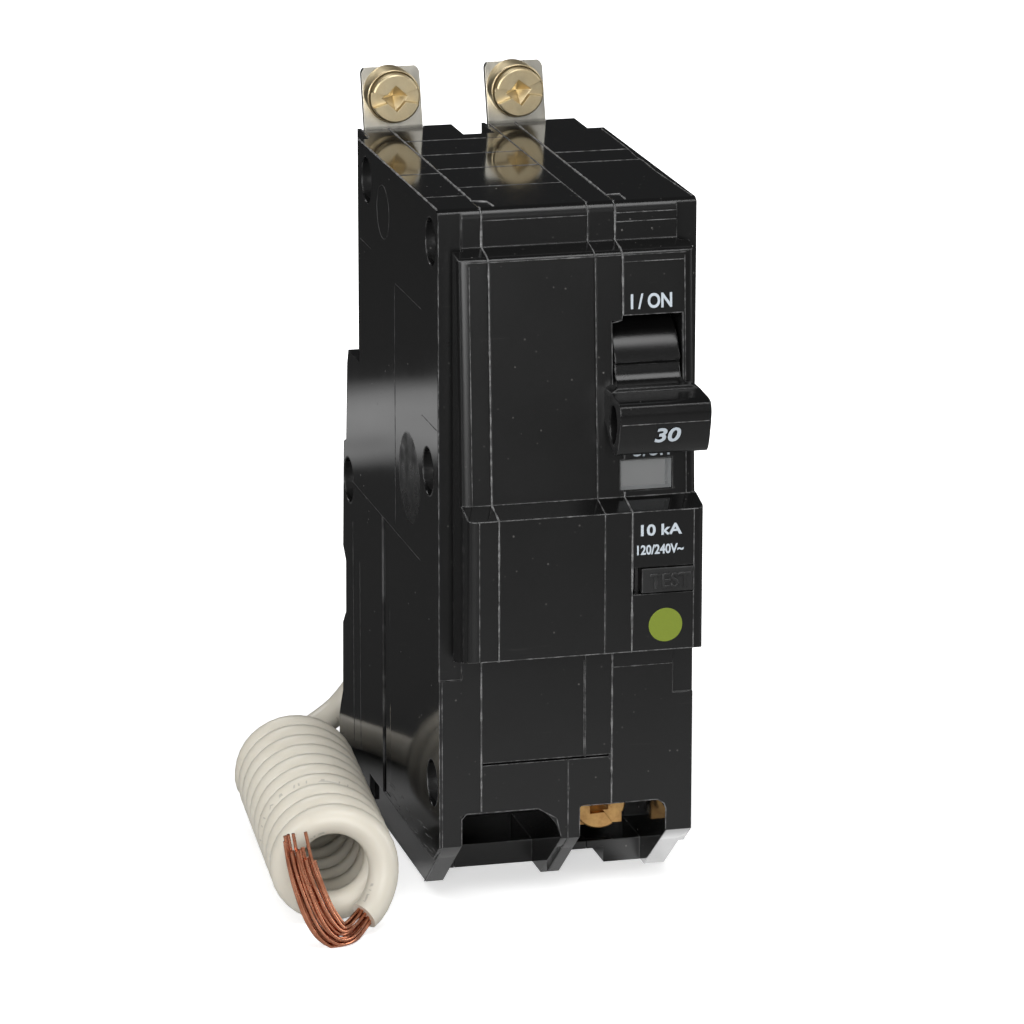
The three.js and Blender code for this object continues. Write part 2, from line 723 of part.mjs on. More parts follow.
function makeContacts() {
  const open = ARM_SWING - ARM_LEAN;
  const carrier = new THREE.Group();
  carrier.position.set(0, barY, barZ);
  carrier.rotation.x = degrees(open);
  const eye = CROSSBAR_RADIUS + 1.4;
  const tipHalf = 1.7;
  const contactAt = ARM_LENGTH - 4;
  lineStraps.forEach(({ side, armX }) => {
    const blade = new THREE.Shape();
    blade.absarc(0, 0, eye, degrees(70), degrees(110) - 2 * Math.PI, true);
    blade.lineTo(-tipHalf, contactAt - 6);
    blade.lineTo(-tipHalf, ARM_LENGTH);
    blade.lineTo(tipHalf, ARM_LENGTH);
    blade.lineTo(tipHalf, contactAt - 6);
    const arm = cut(
      alongX(blade, armX - ARM_THICKNESS / 2, armX + ARM_THICKNESS / 2, 10),
      rodX(0, 0, CROSSBAR_RADIUS + CONTACT_GAP, -HALF, HALF, 24),
    );
    add(`contact_arm_${side}`, arm, COPPER, carrier);
    const face = tipHalf + CONTACT_GAP;
    const contact = rodY(armX, contactAt, 2, face, face + 1.3, 16);
    add(`moving_contact_${side}`, contact, SILVER, carrier);
  });
  const shaft = rodX(0, 0, CROSSBAR_RADIUS, leftArmX - 3.5, rightArmX + 6.5, 24);
  add('crossbar', shaft, FIBRE, carrier);
  model.add(carrier);
}

function makeArcChutes() {
  const plates = 7;
  const pitch = 2.5;
  const half = 4;
  const base = barZ + ARM_LENGTH + 3.5;
  lineStraps.forEach(({ side, armX }) => {
    const x = Math.max(armX, centreSeam + 1.8 + half);
    const middle = side === 'left' ? armX : x;
    const fins = Array.from({ length: plates }, (_, i) => {
      const y = barY - 6.5 + i * pitch;
      return box(middle - half, middle + half, y, y + 1, base, base + 4.6);
    });
    const carrier = box(middle - half, middle + half, barY - 7, barY - 6 + plates * pitch,
      base + 4.4, base + 5.2);
    add(`arc_chute_${side}`, join(carrier, ...fins), DARK_STEEL);
  });
}

// ---------------------------------------------------------------- trip parts

const cradleY = 15;
const cradleZ = handleZ + 15;
const CRADLE_SHAFT_RADIUS = 1.2;
const GLAND_RADIUS = 3.6;
const cradleLeftX = leftArmX + 3.7;
const cradleRightX = rightArmX + 3.7;

function makeCradles() {
  const tip = { y: 9, z: -29 };
  const places = [['left', cradleLeftX], ['right', cradleRightX]];
  places.forEach(([side, x]) => {
    const bar = outline([
      [-2.6, 1.5],
      [1, 2.8],
      [2.8, 0],
      [tip.y + 1.2, tip.z + 1],
      [tip.y + 2.6, tip.z - 0.6],
      [tip.y - 1.2, tip.z - 1.4],
      [-2.4, -1.5],
    ]);
    const lever = cut(
      alongX(bar, x, x + 1.2),
      rodX(0, 0, CRADLE_SHAFT_RADIUS + CLEARANCE, -HALF, HALF, 16),
    );
    const mesh = add(`cradle_${side}`, lever, STEEL);
    mesh.position.set(0, cradleY, cradleZ);
  });
  const inner = HALF - SIDE_WALL - CLEARANCE;
  add('cradle_shaft', rodX(cradleY, cradleZ, CRADLE_SHAFT_RADIUS, -inner, inner, 16), STEEL);
  const springXs = [['left', leftArmX + 2.6], ['right', rightArmX + 2.6]];
  springXs.forEach(([side, x]) => {
    const spring = helix(
      new THREE.Vector3(x, cradleY + 5, cradleZ - 10),
      new THREE.Vector3(x, barY - 7, barZ + 12),
      0.72, 0.22, 7,
    );
    add(`toggle_spring_${side}`, spring, STEEL);
  });
}

const fingerDrop = 12;
const solenoidX = centreSeam - 7.9;
const solenoidZ = tripZ - 6;

function makeTripBar() {
  const fingers = [leftArmX, solenoidX, rightArmX].map((x) => box(
    x - 1.5, x + 1.5, tripY - 0.6, tripY + 0.6, tripZ - fingerDrop, tripZ,
  ));
  const shaft = rodX(tripY, tripZ, TRIP_BAR_RADIUS, leftArmX - 3.5, rightArmX + 6.5, 16);
  add('trip_bar', join(shaft, ...fingers), FIBRE);
}

function makeTripUnits() {
  const bimetalTop = barZ + 3;
  const yokeFoot = shelfZ + 8;
  const yokeHeight = 10;
  loads.forEach(({ side, armX }) => {
    const strip = box(armX - 2, armX + 2, bimetalY, bimetalY + 1.2, shelfZ + 1.3, bimetalTop);
    add(`bimetal_${side}`, strip, BRASS);
    const yoke = cut(
      box(armX - 3.5, armX + 3.5, bimetalY - 2.3, bimetalY + 3.6, yokeFoot, yokeFoot + yokeHeight),
      box(armX - 2.7, armX + 2.7, bimetalY - 3, bimetalY + 2.6, yokeFoot - 1, yokeFoot + yokeHeight + 1),
    );
    add(`magnet_yoke_${side}`, yoke, DARK_STEEL);
    const plate = box(armX - 3, armX + 3, bimetalY - 5.1, bimetalY - 3.9, yokeFoot - 2, yokeFoot + yokeHeight + 2.5);
    add(`armature_${side}`, plate, STEEL);
    const braid = tube([
      new THREE.Vector3(armX, bimetalY + 2.2, bimetalTop - 1.5),
      new THREE.Vector3(armX, bimetalY + 4, bimetalTop - 2.4),
      new THREE.Vector3(armX, bimetalY + 5.6, bimetalTop - 4.4),
      new THREE.Vector3(armX, bimetalY + 8, bimetalTop - 4.6),
    ], 0.8, 8, 10);
    add(`braid_${side}`, braid, COPPER);
  });
}

// ---------------------------------------------------------------- load end

function makeLoadEnd() {
  loads.forEach(({ side, x, y, z, armX, slot }) => {
    const plateY = y + strapOffset;
    const shelfEnd = bimetalY + 1.6;
    const upright = box(x - strapHalf, x + strapHalf, plateY, plateY + 1.2, z - 4, shelfZ + 1.1);
    const x0 = Math.min(x - strapHalf, armX - 2.4);
    const x1 = Math.max(x + strapHalf, armX + 2.4);
    const shelf = box(x0, x1, Math.min(plateY, bimetalY - 1), Math.max(plateY + 1.2, shelfEnd), shelfZ, shelfZ + 1.1);
    const tapped = rodY(x, z, LOAD_SCREW_RADIUS + CLEARANCE, plateY - 1, plateY + 3, 20);
    add(`load_strap_${side}`, cut(join(upright, shelf), tapped), TINNED);
    const clampFront = y + 2.3;
    const clamp = cut(
      box(x - 4, x + 4, clampFront, clampFront + 1.1, z - 4, z + 4),
      rodY(x, z, LOAD_SCREW_RADIUS + CLEARANCE, clampFront - 1, clampFront + 3, 20),
    );
    add(`load_clamp_${side}`, clamp, BRASS);
    const screw = new THREE.Group();
    screw.position.set(x, y, z);
    add(`load_screw_${side}`, slottedScrew(LOAD_HEAD_RADIUS, 2, LOAD_SCREW_RADIUS, 9.4, slot), BRASS, screw);
    model.add(screw);
  });
}

// ---------------------------------------------------------------- electronics

function makeElectronics() {
  const boardBack = centreSeam - 1.64;
  const thickness = 1.4;
  const boardFace = boardBack - thickness;
  const boardTop = Math.min(barZ - 4.6, 60);
  add('circuit_board', box(boardFace, boardBack, 26, 57, footSeamTop + 0.5, boardTop), BOARD);
  const toroidY = 41.5;
  const toroidZ = 34;
  [0, 1].forEach((i) => {
    const width = 4.6;
    const x = boardFace - 0.3 - (i + 1) * width - i * 0.3;
    const core = turned([
      [4.6, 0.6], [5.2, 0], [8.9, 0], [9.5, 0.6], [9.5, 4], [8.9, 4.6], [5.2, 4.6], [4.6, 4], [4.6, 0.6],
    ], 22);
    const mesh = add(`sense_toroid_${i + 1}`, core, FERRITE);
    mesh.rotation.z = -Math.PI / 2;
    mesh.position.set(x, toroidY, toroidZ);
  });
  const disc = rodX(54, 27, 3.6, boardFace - 2.9, boardFace - 0.2, 24);
  add('surge_disc', disc, CERAMIC);
  const coil = add('solenoid_coil', ring(1.7, 4, 8.8, 28), COPPER);
  coil.position.set(solenoidX, 25.6, solenoidZ);
  add('solenoid_plunger', rodY(solenoidX, solenoidZ, 1.25, 22.9, 32, 16), STEEL);
}

// ---------------------------------------------------------------- pigtail

const coilFront = { x: -HALF - 16.81, y: -7.6 };

function makePigtail() {
  const wire = WIRE_DIAMETER / 2;
  const gland = add('pigtail_gland', turned([
    [0, 0], [GLAND_RADIUS, 0], [GLAND_RADIUS, 4.2], [GLAND_RADIUS - 0.8, 7.4], [0, 7.4],
  ], 20), PHENOLIC);
  gland.position.set(glandX, glandY - 4.5, glandZ);

  const yaw = degrees(COIL_YAW);
  const coil = add('pigtail_coil', ring(COIL_RADIUS - WIRE_DIAMETER, COIL_RADIUS, COIL_LENGTH, 36), JACKET);
  coil.rotation.z = -yaw;
  coil.position.set(coilFront.x, coilFront.y, COIL_RADIUS);

  const back = new THREE.Vector3(
    coilFront.x + (COIL_LENGTH + CLEARANCE) * Math.sin(yaw),
    coilFront.y + (COIL_LENGTH + CLEARANCE) * Math.cos(yaw),
    COIL_RADIUS,
  );
  const mean = COIL_RADIUS - wire;
  const route = [
    [glandX, glandY + 3.25, glandZ],
    [glandX, glandY + 6, glandZ],
    [glandX - 0.4, glandY + 9.5, glandZ - 1.1],
    [glandX - 1.6, glandY + 13, glandZ - 4.4],
    [glandX - 3.8, glandY + 15.6, glandZ - 9],
    [glandX - 7.4, glandY + 16.2, glandZ - 13.6],
    [glandX - 12.4, glandY + 13.6, wire + 1],
    [glandX - 17.2, glandY + 8.4, wire + 0.15],
    [glandX - 20.6, glandY + 1.6, wire + 0.15],
    [glandX - 23.2, glandY - 5.6, wire + 0.15],
    [back.x - 1.8, back.y + 9.4, wire + 0.3],
    [back.x - 4.2, back.y + 4.6, wire + 1.6],
    [back.x - mean, back.y + wire, COIL_RADIUS - 2],
  ].map(([x, y, z]) => new THREE.Vector3(x, y, z));
  add('pigtail_lead', tube(route, wire, 8, 40), JACKET);

  const strandStart = [
    [-2.6, -1.7, 2.2],
    [-4.4, -2.4, 1.9],
    [-6.8, -3.2, 3.2],
    [-8.6, -3.4, 6.4],
    [-9.6, -3.2, 10.6],
    [-10.2, -3, 15],
  ].map(([dx, dy, z]) => new THREE.Vector3(coilFront.x + 4.5 + dx, coilFront.y + dy, z));
  add('pigtail_strands', tube(strandStart, 1.5, 8, 18), COPPER);
}

makeCase();
makeRivets();
makeHandle();
makeTestButton();
makeTripWindow();
makeLineEnd();
makeContacts();
makeArcChutes();
makeCradles();
makeTripBar();
makeTripUnits();
makeLoadEnd();
makeElectronics();
makePigtail();

export default model;
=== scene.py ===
# %% [markdown]
# # A two-pole ground-fault breaker
# The breaker arrives as a finished mechanical model: its shells, screws and inside parts are
# already the right size and in the right place. This notebook adds what a maker's model lacks:
# glossy moulded plastic, scuffed parting lines, machined brass, a wound white pigtail and light.
# Distances in the notes are in millimetres, and `place` turns them into Blender's metres.

# %% Load the fixed frame
import json
import math
import random

import bmesh
import bpy
from mathutils import Matrix, Vector


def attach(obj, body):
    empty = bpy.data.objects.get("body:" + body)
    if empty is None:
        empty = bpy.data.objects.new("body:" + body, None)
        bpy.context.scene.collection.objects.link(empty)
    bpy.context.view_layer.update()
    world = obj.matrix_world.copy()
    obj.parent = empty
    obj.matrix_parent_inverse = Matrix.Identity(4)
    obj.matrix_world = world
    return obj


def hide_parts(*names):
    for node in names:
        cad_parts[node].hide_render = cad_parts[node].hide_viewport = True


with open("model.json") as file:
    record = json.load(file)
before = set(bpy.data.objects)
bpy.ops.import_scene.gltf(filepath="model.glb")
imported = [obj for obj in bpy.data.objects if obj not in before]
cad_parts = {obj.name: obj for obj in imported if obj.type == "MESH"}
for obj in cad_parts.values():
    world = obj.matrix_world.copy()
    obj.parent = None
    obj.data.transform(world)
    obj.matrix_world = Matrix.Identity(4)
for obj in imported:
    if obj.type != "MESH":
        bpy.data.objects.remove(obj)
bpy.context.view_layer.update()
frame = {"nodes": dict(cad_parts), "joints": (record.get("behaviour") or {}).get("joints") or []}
cad = frame["nodes"]

MM = 0.001
FOOTPRINT_MIDDLE = 26.6  # the case's front face is this far in front of the origin


def place(x, y, z):
    """A point measured from the case's front face and the floor, as a place in the scene."""
    return Vector((x, y - FOOTPRINT_MIDDLE, z)) * MM


# %% [markdown]
# ## Camera
# A long lens from nearly a metre away keeps the upright edges almost parallel.
# The camera stands a little to the left and looks slightly down, so the left side and the top
# both show. Its place is worked out from two angles and a distance rather than typed in.

# %% Camera
AZIMUTH = math.radians(-14.187)
ELEVATION = math.radians(15.537)
ROLL = math.radians(0.056)
DISTANCE = 807.667
SIDE_SHIFT = 7.95
UP_SHIFT = -2.461
SENSOR_WIDTH = 36
FOCAL = 196.875

back = Vector((
    math.sin(AZIMUTH) * math.cos(ELEVATION),
    -math.cos(AZIMUTH) * math.cos(ELEVATION),
    math.sin(ELEVATION),
))
level = Vector((math.cos(AZIMUTH), math.sin(AZIMUTH), 0))
upward = back.cross(level)
camera_x = level * math.cos(ROLL) + upward * math.sin(ROLL)
camera_y = -level * math.sin(ROLL) + upward * math.cos(ROLL)
looked_at = place(0, 0, 56.25)
camera_data = bpy.data.cameras.new("camera")
camera_data.lens = FOCAL
camera_data.sensor_width = SENSOR_WIDTH
camera_data.clip_start = 0.01
camera_data.clip_end = 20
camera = bpy.data.objects.new("camera", camera_data)
turned = Matrix((camera_x, camera_y, back)).transposed()
eye = looked_at + (back * DISTANCE - camera_x * SIDE_SHIFT - camera_y * UP_SHIFT) * MM
camera.matrix_world = Matrix.Translation(eye) @ turned.to_4x4()
bpy.context.scene.collection.objects.link(camera)
bpy.context.scene.camera = camera
print("camera at", [round(c, 3) for c in eye])

# %% [markdown]
# ## Shader sums as Python
# A material is a network of small sums. Writing `1 - mask` is easier to read than wiring a Math
# node, so a wrapper round a socket overloads the operators, and each one adds its Math node.
# Every other node comes from `node`, which sets the node's own settings first.


# %% The material maker
class Wire:
    """An output socket that Python's operators can work on."""

    def __init__(self, paint, socket):
        self.paint = paint
        self.socket = socket

    def math(self, operation, *others, clamp=False):
        values = dict(enumerate((self, *others)))
        return self.paint.node(
            "ShaderNodeMath", {"operation": operation, "use_clamp": clamp}, values
        )

    def __add__(self, other):
        return self.math("ADD", other)

    __radd__ = __add__

    def __sub__(self, other):
        return self.math("SUBTRACT", other)

    def __rsub__(self, other):
        return self.paint.node("ShaderNodeMath", {"operation": "SUBTRACT"}, {0: other, 1: self})

    def __mul__(self, other):
        return self.math("MULTIPLY", other)

    __rmul__ = __mul__

    def __abs__(self):
        return self.math("ABSOLUTE")

    def clamped(self):
        return self.math("ADD", 0.0, clamp=True)

    def above(self, edge, soft):
        """0 below edge and 1 above edge + soft, in a straight ramp."""
        return ((self - edge) * (1 / soft)).clamped()

    def near(self, centre, half, soft):
        """1 within half of centre, falling to 0 over soft."""
        return 1 - abs(self - centre).above(half, soft)


class Paint:
    """A procedural material while it is being put together."""

    def __init__(self, name):
        self.material = bpy.data.materials.new(name)
        self.material.use_nodes = True
        self.tree = self.material.node_tree
        self.tree.nodes.clear()
        self.output = self.tree.nodes.new("ShaderNodeOutputMaterial")
        place_texture = self.tree.nodes.new("ShaderNodeTexCoord")
        self.where = Wire(self, place_texture.outputs["Object"])

    def node(self, kind, settings=None, values=None, out=0):
        made = self.tree.nodes.new(kind)
        for key, value in (settings or {}).items():
            setattr(made, key, value)
        for key, value in (values or {}).items():
            socket = made.inputs[key]
            if isinstance(value, Wire):
                self.tree.links.new(value.socket, socket)
            else:
                socket.default_value = value
        return Wire(self, made.outputs[out])

    def axes(self):
        """The place on the object as three numbers, in millimetres from the origin."""
        split = self.node("ShaderNodeSeparateXYZ", None, {0: self.where}).socket.node
        return [Wire(self, out) * 1000 for out in split.outputs]

    def noise(self, scale, detail=3.0, rough=0.5, stretch=None):
        where = self.where
        if stretch:
            where = self.node(
                "ShaderNodeVectorMath", {"operation": "MULTIPLY"}, {0: where, 1: stretch}
            )
        return self.node(
            "ShaderNodeTexNoise",
            None,
            {"Vector": where, "Scale": scale, "Detail": detail, "Roughness": rough},
        )

    def blend(self, mask, first, second):
        return self.node(
            "ShaderNodeMix", {"data_type": "RGBA"}, {0: mask, 6: first, 7: second}, out=2
        )

    def bump(self, height, strength, distance, normal=None):
        values = {"Height": height, "Strength": strength, "Distance": distance}
        if normal is not None:
            values["Normal"] = normal
        return self.node("ShaderNodeBump", None, values)

    def finish(self, values):
        surface = self.node("ShaderNodeBsdfPrincipled", None, values)
        self.tree.links.new(surface.socket, self.output.inputs["Surface"])
        return self.material


def grey(value):
    return (value, value, value, 1)


def warm(value, red=1.04, blue=0.94):
    return (value * red, value, value * blue, 1)


# %% [markdown]
# ## Moulded black plastic
# The shells are a hard glossy moulding compound, almost black. What makes it read as real is
# small: every edge is slightly rounded and catches light, corners are rubbed to a pale grey,
# and fine dust sits on the faces. The Bevel node compares the true surface with a rounded one,
# which gives both the soft edge and the place where rubbing shows.


# %% Black moulding compound
EDGE_RADIUS = 0.00032
GATE_Y, GATE_Z, GATE_RADIUS = -8.2, 60.35, 6.5  # a dull round patch where the mould was filled
GATE_SIDE = -18.9


def moulded(name, tone=0.0065, gloss=0.06, satin=0.2, rub=0.6, dust=1.0):
    paint = Paint(name)
    rounded = paint.node("ShaderNodeBevel", {"samples": 6}, {"Radius": EDGE_RADIUS})
    true = paint.node("ShaderNodeNewGeometry", out="Normal")
    same = paint.node("ShaderNodeVectorMath", {"operation": "DOT_PRODUCT"}, {0: rounded, 1: true}, out=1)
    patchy = paint.noise(260, 4, 0.65)
    edge = ((1 - same).above(0.02, 0.16) * patchy.above(0.46, 0.16) * rub).clamped()
    cells = paint.node("ShaderNodeTexVoronoi", None, {"Vector": paint.where, "Scale": 620.0})
    clumps = paint.noise(90, 2).above(0.48, 0.2)
    specks = (1 - cells.above(0.06, 0.05)) * clumps * dust
    scratch = paint.noise(60, 6, 0.7, (1, 1, 14)).above(0.66, 0.03) * 0.35
    body = paint.blend(paint.noise(34, 3), grey(tone * 0.9), grey(tone * 1.15))
    dusty = paint.blend((specks * 0.5 + scratch * 0.08).clamped(), body, warm(0.2))
    colour = paint.blend(edge, dusty, grey(0.17))
    facing = paint.node("ShaderNodeSeparateXYZ", None, {0: true}, out="Y")
    front = (facing * -1).above(0.5, 0.3)
    x, y, z = paint.axes()
    over, up = y - GATE_Y, z - GATE_Z
    from_gate = (over * over + up * up).math("SQRT")
    inside = 1 - from_gate.above(GATE_RADIUS, 0.5)
    gate = inside * (1 - x.above(GATE_SIDE, 0.1)) * patchy.above(0.2, 0.5)
    wear = edge * 0.35 + specks * 0.3 + scratch * 0.1 + gate * 0.4
    rough = (paint.noise(140, 3) * 0.05 + front * satin + gloss + wear).clamped()
    relief = paint.noise(1500, 2) * 0.05 + paint.noise(45, 1) * 0.9 + specks * 0.4
    normal = paint.bump(relief, 0.14, 0.00008, rounded)
    return paint.finish({"Base Color": colour, "Roughness": rough, "Normal": normal, "IOR": 1.52})


case_black = moulded("case_black")
handle_black = moulded("handle_black", tone=0.005, gloss=0.2, satin=0.04, rub=0.45, dust=0.6)
button_black = moulded("button_black", tone=0.011, gloss=0.3, satin=0.1, rub=0.5, dust=0.5)
print("moulded blacks:", case_black.name, handle_black.name, button_black.name)

# %% [markdown]
# ## Metals
# The terminal screws are turned brass with a faint oxide bloom, the tabs are copper with a tin
# skin, and the pigtail's strands are bare copper. Each metal is one recipe: a base colour, a
# darker bloom that follows slow noise, fine tool marks in the bump, and roughness that follows
# both.


# %% Metal recipe
def metal(name, light, dark, gloss, marks=(1, 1, 1), mark_scale=900, bloom=0.5, relief=0.25, soft=0.0001):
    paint = Paint(name)
    slow = paint.noise(420, 4, 0.6)
    fine = paint.noise(mark_scale, 3, 0.6, marks)
    stain = slow.above(0.42, 0.3) * bloom
    colour = paint.blend(stain.clamped(), (*light, 1), (*dark, 1))
    rough = (fine * 0.16 + stain * 0.18 + gloss).clamped()
    rounded = paint.node("ShaderNodeBevel", {"samples": 4}, {"Radius": soft}) if soft else None
    normal = paint.bump(fine, relief, 0.00004, rounded)
    return paint.finish({"Base Color": colour, "Metallic": 1.0, "Roughness": rough, "Normal": normal})


DRAWN = (1, 1, 0.08)  # stretches the marks along the height
brass = metal("turned_brass", (0.7, 0.59, 0.38), (0.52, 0.4, 0.22), 0.3, bloom=0.6)
old_brass = metal("terminal_brass", (0.62, 0.38, 0.15), (0.38, 0.2, 0.08), 0.28, bloom=0.9)
tin = metal("tinned_copper", (0.56, 0.54, 0.48), (0.4, 0.37, 0.31), 0.24, DRAWN, 1400)
copper = metal("bare_copper", (0.62, 0.27, 0.16), (0.3, 0.1, 0.05), 0.2, bloom=0.8)
strand_copper = metal(
    "strand_copper", (0.68, 0.3, 0.18), (0.3, 0.1, 0.05), 0.16, bloom=0.8, relief=0.04, soft=0
)
steel = metal("plated_steel", (0.5, 0.5, 0.5), (0.36, 0.35, 0.33), 0.3)
dark_steel = metal("blackened_steel", (0.16, 0.16, 0.16), (0.09, 0.09, 0.09), 0.42)
silver = metal("contact_silver", (0.74, 0.74, 0.72), (0.55, 0.55, 0.52), 0.25)
print("metals:", brass.name, old_brass.name, tin.name, copper.name, steel.name, silver.name)


# %% [markdown]
# ## Plain plastics, fibre and board
# The pieces inside are seldom seen, but they still have a surface: a soft mottle in the colour
# and a light grain in the bump.


# %% Quiet materials
def quiet(name, light, dark, gloss, scale=300, relief=0.3):
    paint = Paint(name)
    mottle = paint.noise(scale, 4, 0.6)
    fine = paint.noise(scale * 6, 2)
    colour = paint.blend(mottle, (*dark, 1), (*light, 1))
    rough = (mottle * 0.15 + gloss).clamped()
    normal = paint.bump(fine, relief, 0.00005)
    return paint.finish({"Base Color": colour, "Roughness": rough, "Normal": normal})


white_flag = quiet("flag_white", (0.3, 0.285, 0.28), (0.24, 0.23, 0.22), 0.4)
fibre = quiet("crossbar_fibre", (0.3, 0.22, 0.14), (0.18, 0.12, 0.08), 0.7)
board_green = quiet("board_green", (0.05, 0.22, 0.09), (0.03, 0.14, 0.06), 0.35)
ferrite = quiet("toroid_grey", (0.1, 0.1, 0.11), (0.05, 0.05, 0.06), 0.5)
ceramic = quiet("disc_blue", (0.05, 0.16, 0.45), (0.03, 0.1, 0.32), 0.4)
rubber = quiet("grommet_black", (0.03, 0.03, 0.03), (0.016, 0.016, 0.016), 0.6)
print_white = quiet("printed_white", (0.55, 0.61, 0.66), (0.46, 0.51, 0.56), 0.5, 2500, 0.15)
print_green = quiet("printed_green", (0.19, 0.24, 0.016), (0.15, 0.2, 0.014), 0.5, 2500, 0.15)
print("quiet materials:", fibre.name, board_green.name, ferrite.name, ceramic.name, rubber.name)


# %% Clear lens
def clear_plastic():
    paint = Paint("clear_lens")
    haze = paint.noise(500, 3)
    rough = (haze * 0.1 + 0.06).clamped()
    sides = paint.node("ShaderNodeFresnel", None, {"IOR": 1.5})
    alpha = (sides * 0.6 + 0.2 + haze * 0.08).clamped()
    tint = (0.45, 0.465, 0.47, 1)
    return paint.finish({"Base Color": tint, "Roughness": rough, "Alpha": alpha, "IOR": 1.5})


lens_clear = clear_plastic()
print("lens:", lens_clear.name)

# %% [markdown]
# ## Materials on the frame's own pieces
# Pieces whose shape is already right keep it, and only get a finish. The table below goes by
# the first word of each name.

# %% Finish the frame's pieces
FINISHES = {
    "left": case_black, "middle": case_black, "centre": case_black, "right": case_black,
    "case": steel, "handle": handle_black, "test": button_black, "trip": fibre,
    "line": tin, "load": old_brass, "fixed": silver, "moving": silver, "contact": copper,
    "crossbar": fibre, "arc": dark_steel, "cradle": steel, "toggle": steel, "bimetal": old_brass,
    "magnet": dark_steel, "armature": steel, "braid": copper, "circuit": board_green,
    "sense": ferrite, "surge": ceramic, "solenoid": copper, "pigtail": rubber,
}
ONE_BY_ONE = {
    "handle_pin": steel, "test_contact": copper, "test_spring": steel, "trip_window": lens_clear,
    "trip_flag": white_flag, "solenoid_plunger": steel, "load_strap_left": tin, "load_strap_right": tin,
}
for name, node in cad.items():
    finish = ONE_BY_ONE.get(name) or FINISHES[name.split("_")[0]]
    node.data.materials.clear()
    node.data.materials.append(finish)
print("finished", len(cad), "frame pieces")


# %% [markdown]
# ## Small helpers for new pieces
# A new piece is a mesh that already lies where it belongs, so its object stays at the origin.
# `piece` links it, gives it its finish and lets it ride on a body of the frame.


# %% Piece helpers
def linked(name, data):
    """A new object in the scene, at the origin."""
    made = bpy.data.objects.new(name, data)
    bpy.context.scene.collection.objects.link(made)
    return made


def piece(name, mesh, body, finish, replaces=()):
    made = linked(name, mesh)
    mesh.materials.clear()
    mesh.materials.append(finish)
    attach(made, body)
    if replaces:
        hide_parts(*replaces)
    return made


def plain_mesh(worked):
    """The mesh of an object with its modifiers applied. The object itself is removed."""
    depsgraph = bpy.context.evaluated_depsgraph_get()
    mesh = bpy.data.meshes.new_from_object(worked.evaluated_get(depsgraph))
    mesh.transform(worked.matrix_world)
    bpy.data.objects.remove(worked)
    return mesh


def taken(bm, name):
    """A mesh made from a bmesh, which is then let go."""
    mesh = bpy.data.meshes.new(name)
    bm.to_mesh(mesh)
    bm.free()
    return mesh


def mesh_of(name, fill):
    bm = bmesh.new()
    fill(bm)
    bmesh.ops.recalc_face_normals(bm, faces=bm.faces)
    return taken(bm, name)


def wall(bm, lower, upper):
    """Four-sided faces between two closed rings of points."""
    for i in range(len(lower)):
        j = (i + 1) % len(lower)
        bm.faces.new((lower[i], lower[j], upper[j], upper[i]))


def soften(worked, width, segments=3, angle=30):
    bevel = worked.modifiers.new("bevel", "BEVEL")
    bevel.width = width * MM
    bevel.segments = segments
    bevel.limit_method = "ANGLE"
    bevel.angle_limit = math.radians(angle)


def smooth(mesh, angle=32):
    """Smooth shading up to an angle, with large flat faces kept flat right up to their edges."""
    mesh.polygons.foreach_set("use_smooth", [True] * len(mesh.polygons))
    mesh.set_sharp_from_angle(angle=math.radians(angle))
    worked = linked(mesh.name, mesh)
    even = worked.modifiers.new("even", "WEIGHTED_NORMAL")
    even.keep_sharp = True
    return plain_mesh(worked)


PLANES = {
    "x": lambda at, a, b: place(at, a, b),
    "y": lambda at, a, b: place(a, at, b),
    "z": lambda at, a, b: Vector((a, b, at)) * MM,
}


def extruded(name, outline, low, high, along="x"):
    """An outline in the other two axes, carried from low to high along one axis."""

    def fill(bm):
        first, second = ([bm.verts.new(PLANES[along](at, a, b)) for a, b in outline] for at in (low, high))
        bm.faces.new(first)
        bm.faces.new(second[::-1])
        wall(bm, second, first)

    return linked(name, mesh_of(name, fill))


def carve(worked, tool, operation="DIFFERENCE"):
    """Applies one solid to another, and removes the tool."""
    cut = worked.modifiers.new("carve", "BOOLEAN")
    cut.operation = operation
    cut.object = tool
    cut.solver = "EXACT"
    depsgraph = bpy.context.evaluated_depsgraph_get()
    mesh = bpy.data.meshes.new_from_object(worked.evaluated_get(depsgraph))
    worked.modifiers.clear()
    worked.data = mesh
    bpy.data.objects.remove(tool)
    return worked


def on_circle(centre, radius, angle):
    return (centre[0] + radius * math.cos(angle), centre[1] + radius * math.sin(angle))


def arc(centre, radius, start, end, steps):
    """Points on a circle, angles in degrees from the first axis."""
    turns = [math.radians(start + (end - start) * i / steps) for i in range(steps + 1)]
    return [on_circle(centre, radius, angle) for angle in turns]


def rotations(sides):
    """Evenly spaced angles once round a circle."""
    return [2 * math.pi * i / sides for i in range(sides)]


print("helpers ready, planes:", *PLANES)

# %% [markdown]
# ## The shells
# The frame's shells are made of loose triangles, which shade as flat facets. A copy of each is
# merged into one skin, its flat areas are joined up, and its sharp edges get a real rounding a
# fifth of a millimetre wide. A mould never leaves a perfectly sharp edge.


# %% Shells with soft edges
MERGE_WITHIN = 0.002
CASE_ROUNDING = 0.14
BUTTON_ROUNDING = 0.12


def merged(name, width):
    source = cad[name]
    bm = bmesh.new()
    bm.from_mesh(source.data)
    bm.transform(source.matrix_world)
    bmesh.ops.remove_doubles(bm, verts=bm.verts, dist=MERGE_WITHIN * MM)
    bmesh.ops.dissolve_limit(bm, angle_limit=math.radians(0.6), verts=bm.verts, edges=bm.edges)
    worked = linked(name + "_skin", taken(bm, name + "_skin"))
    soften(worked, width, 2, 38)
    return smooth(plain_mesh(worked), 42)


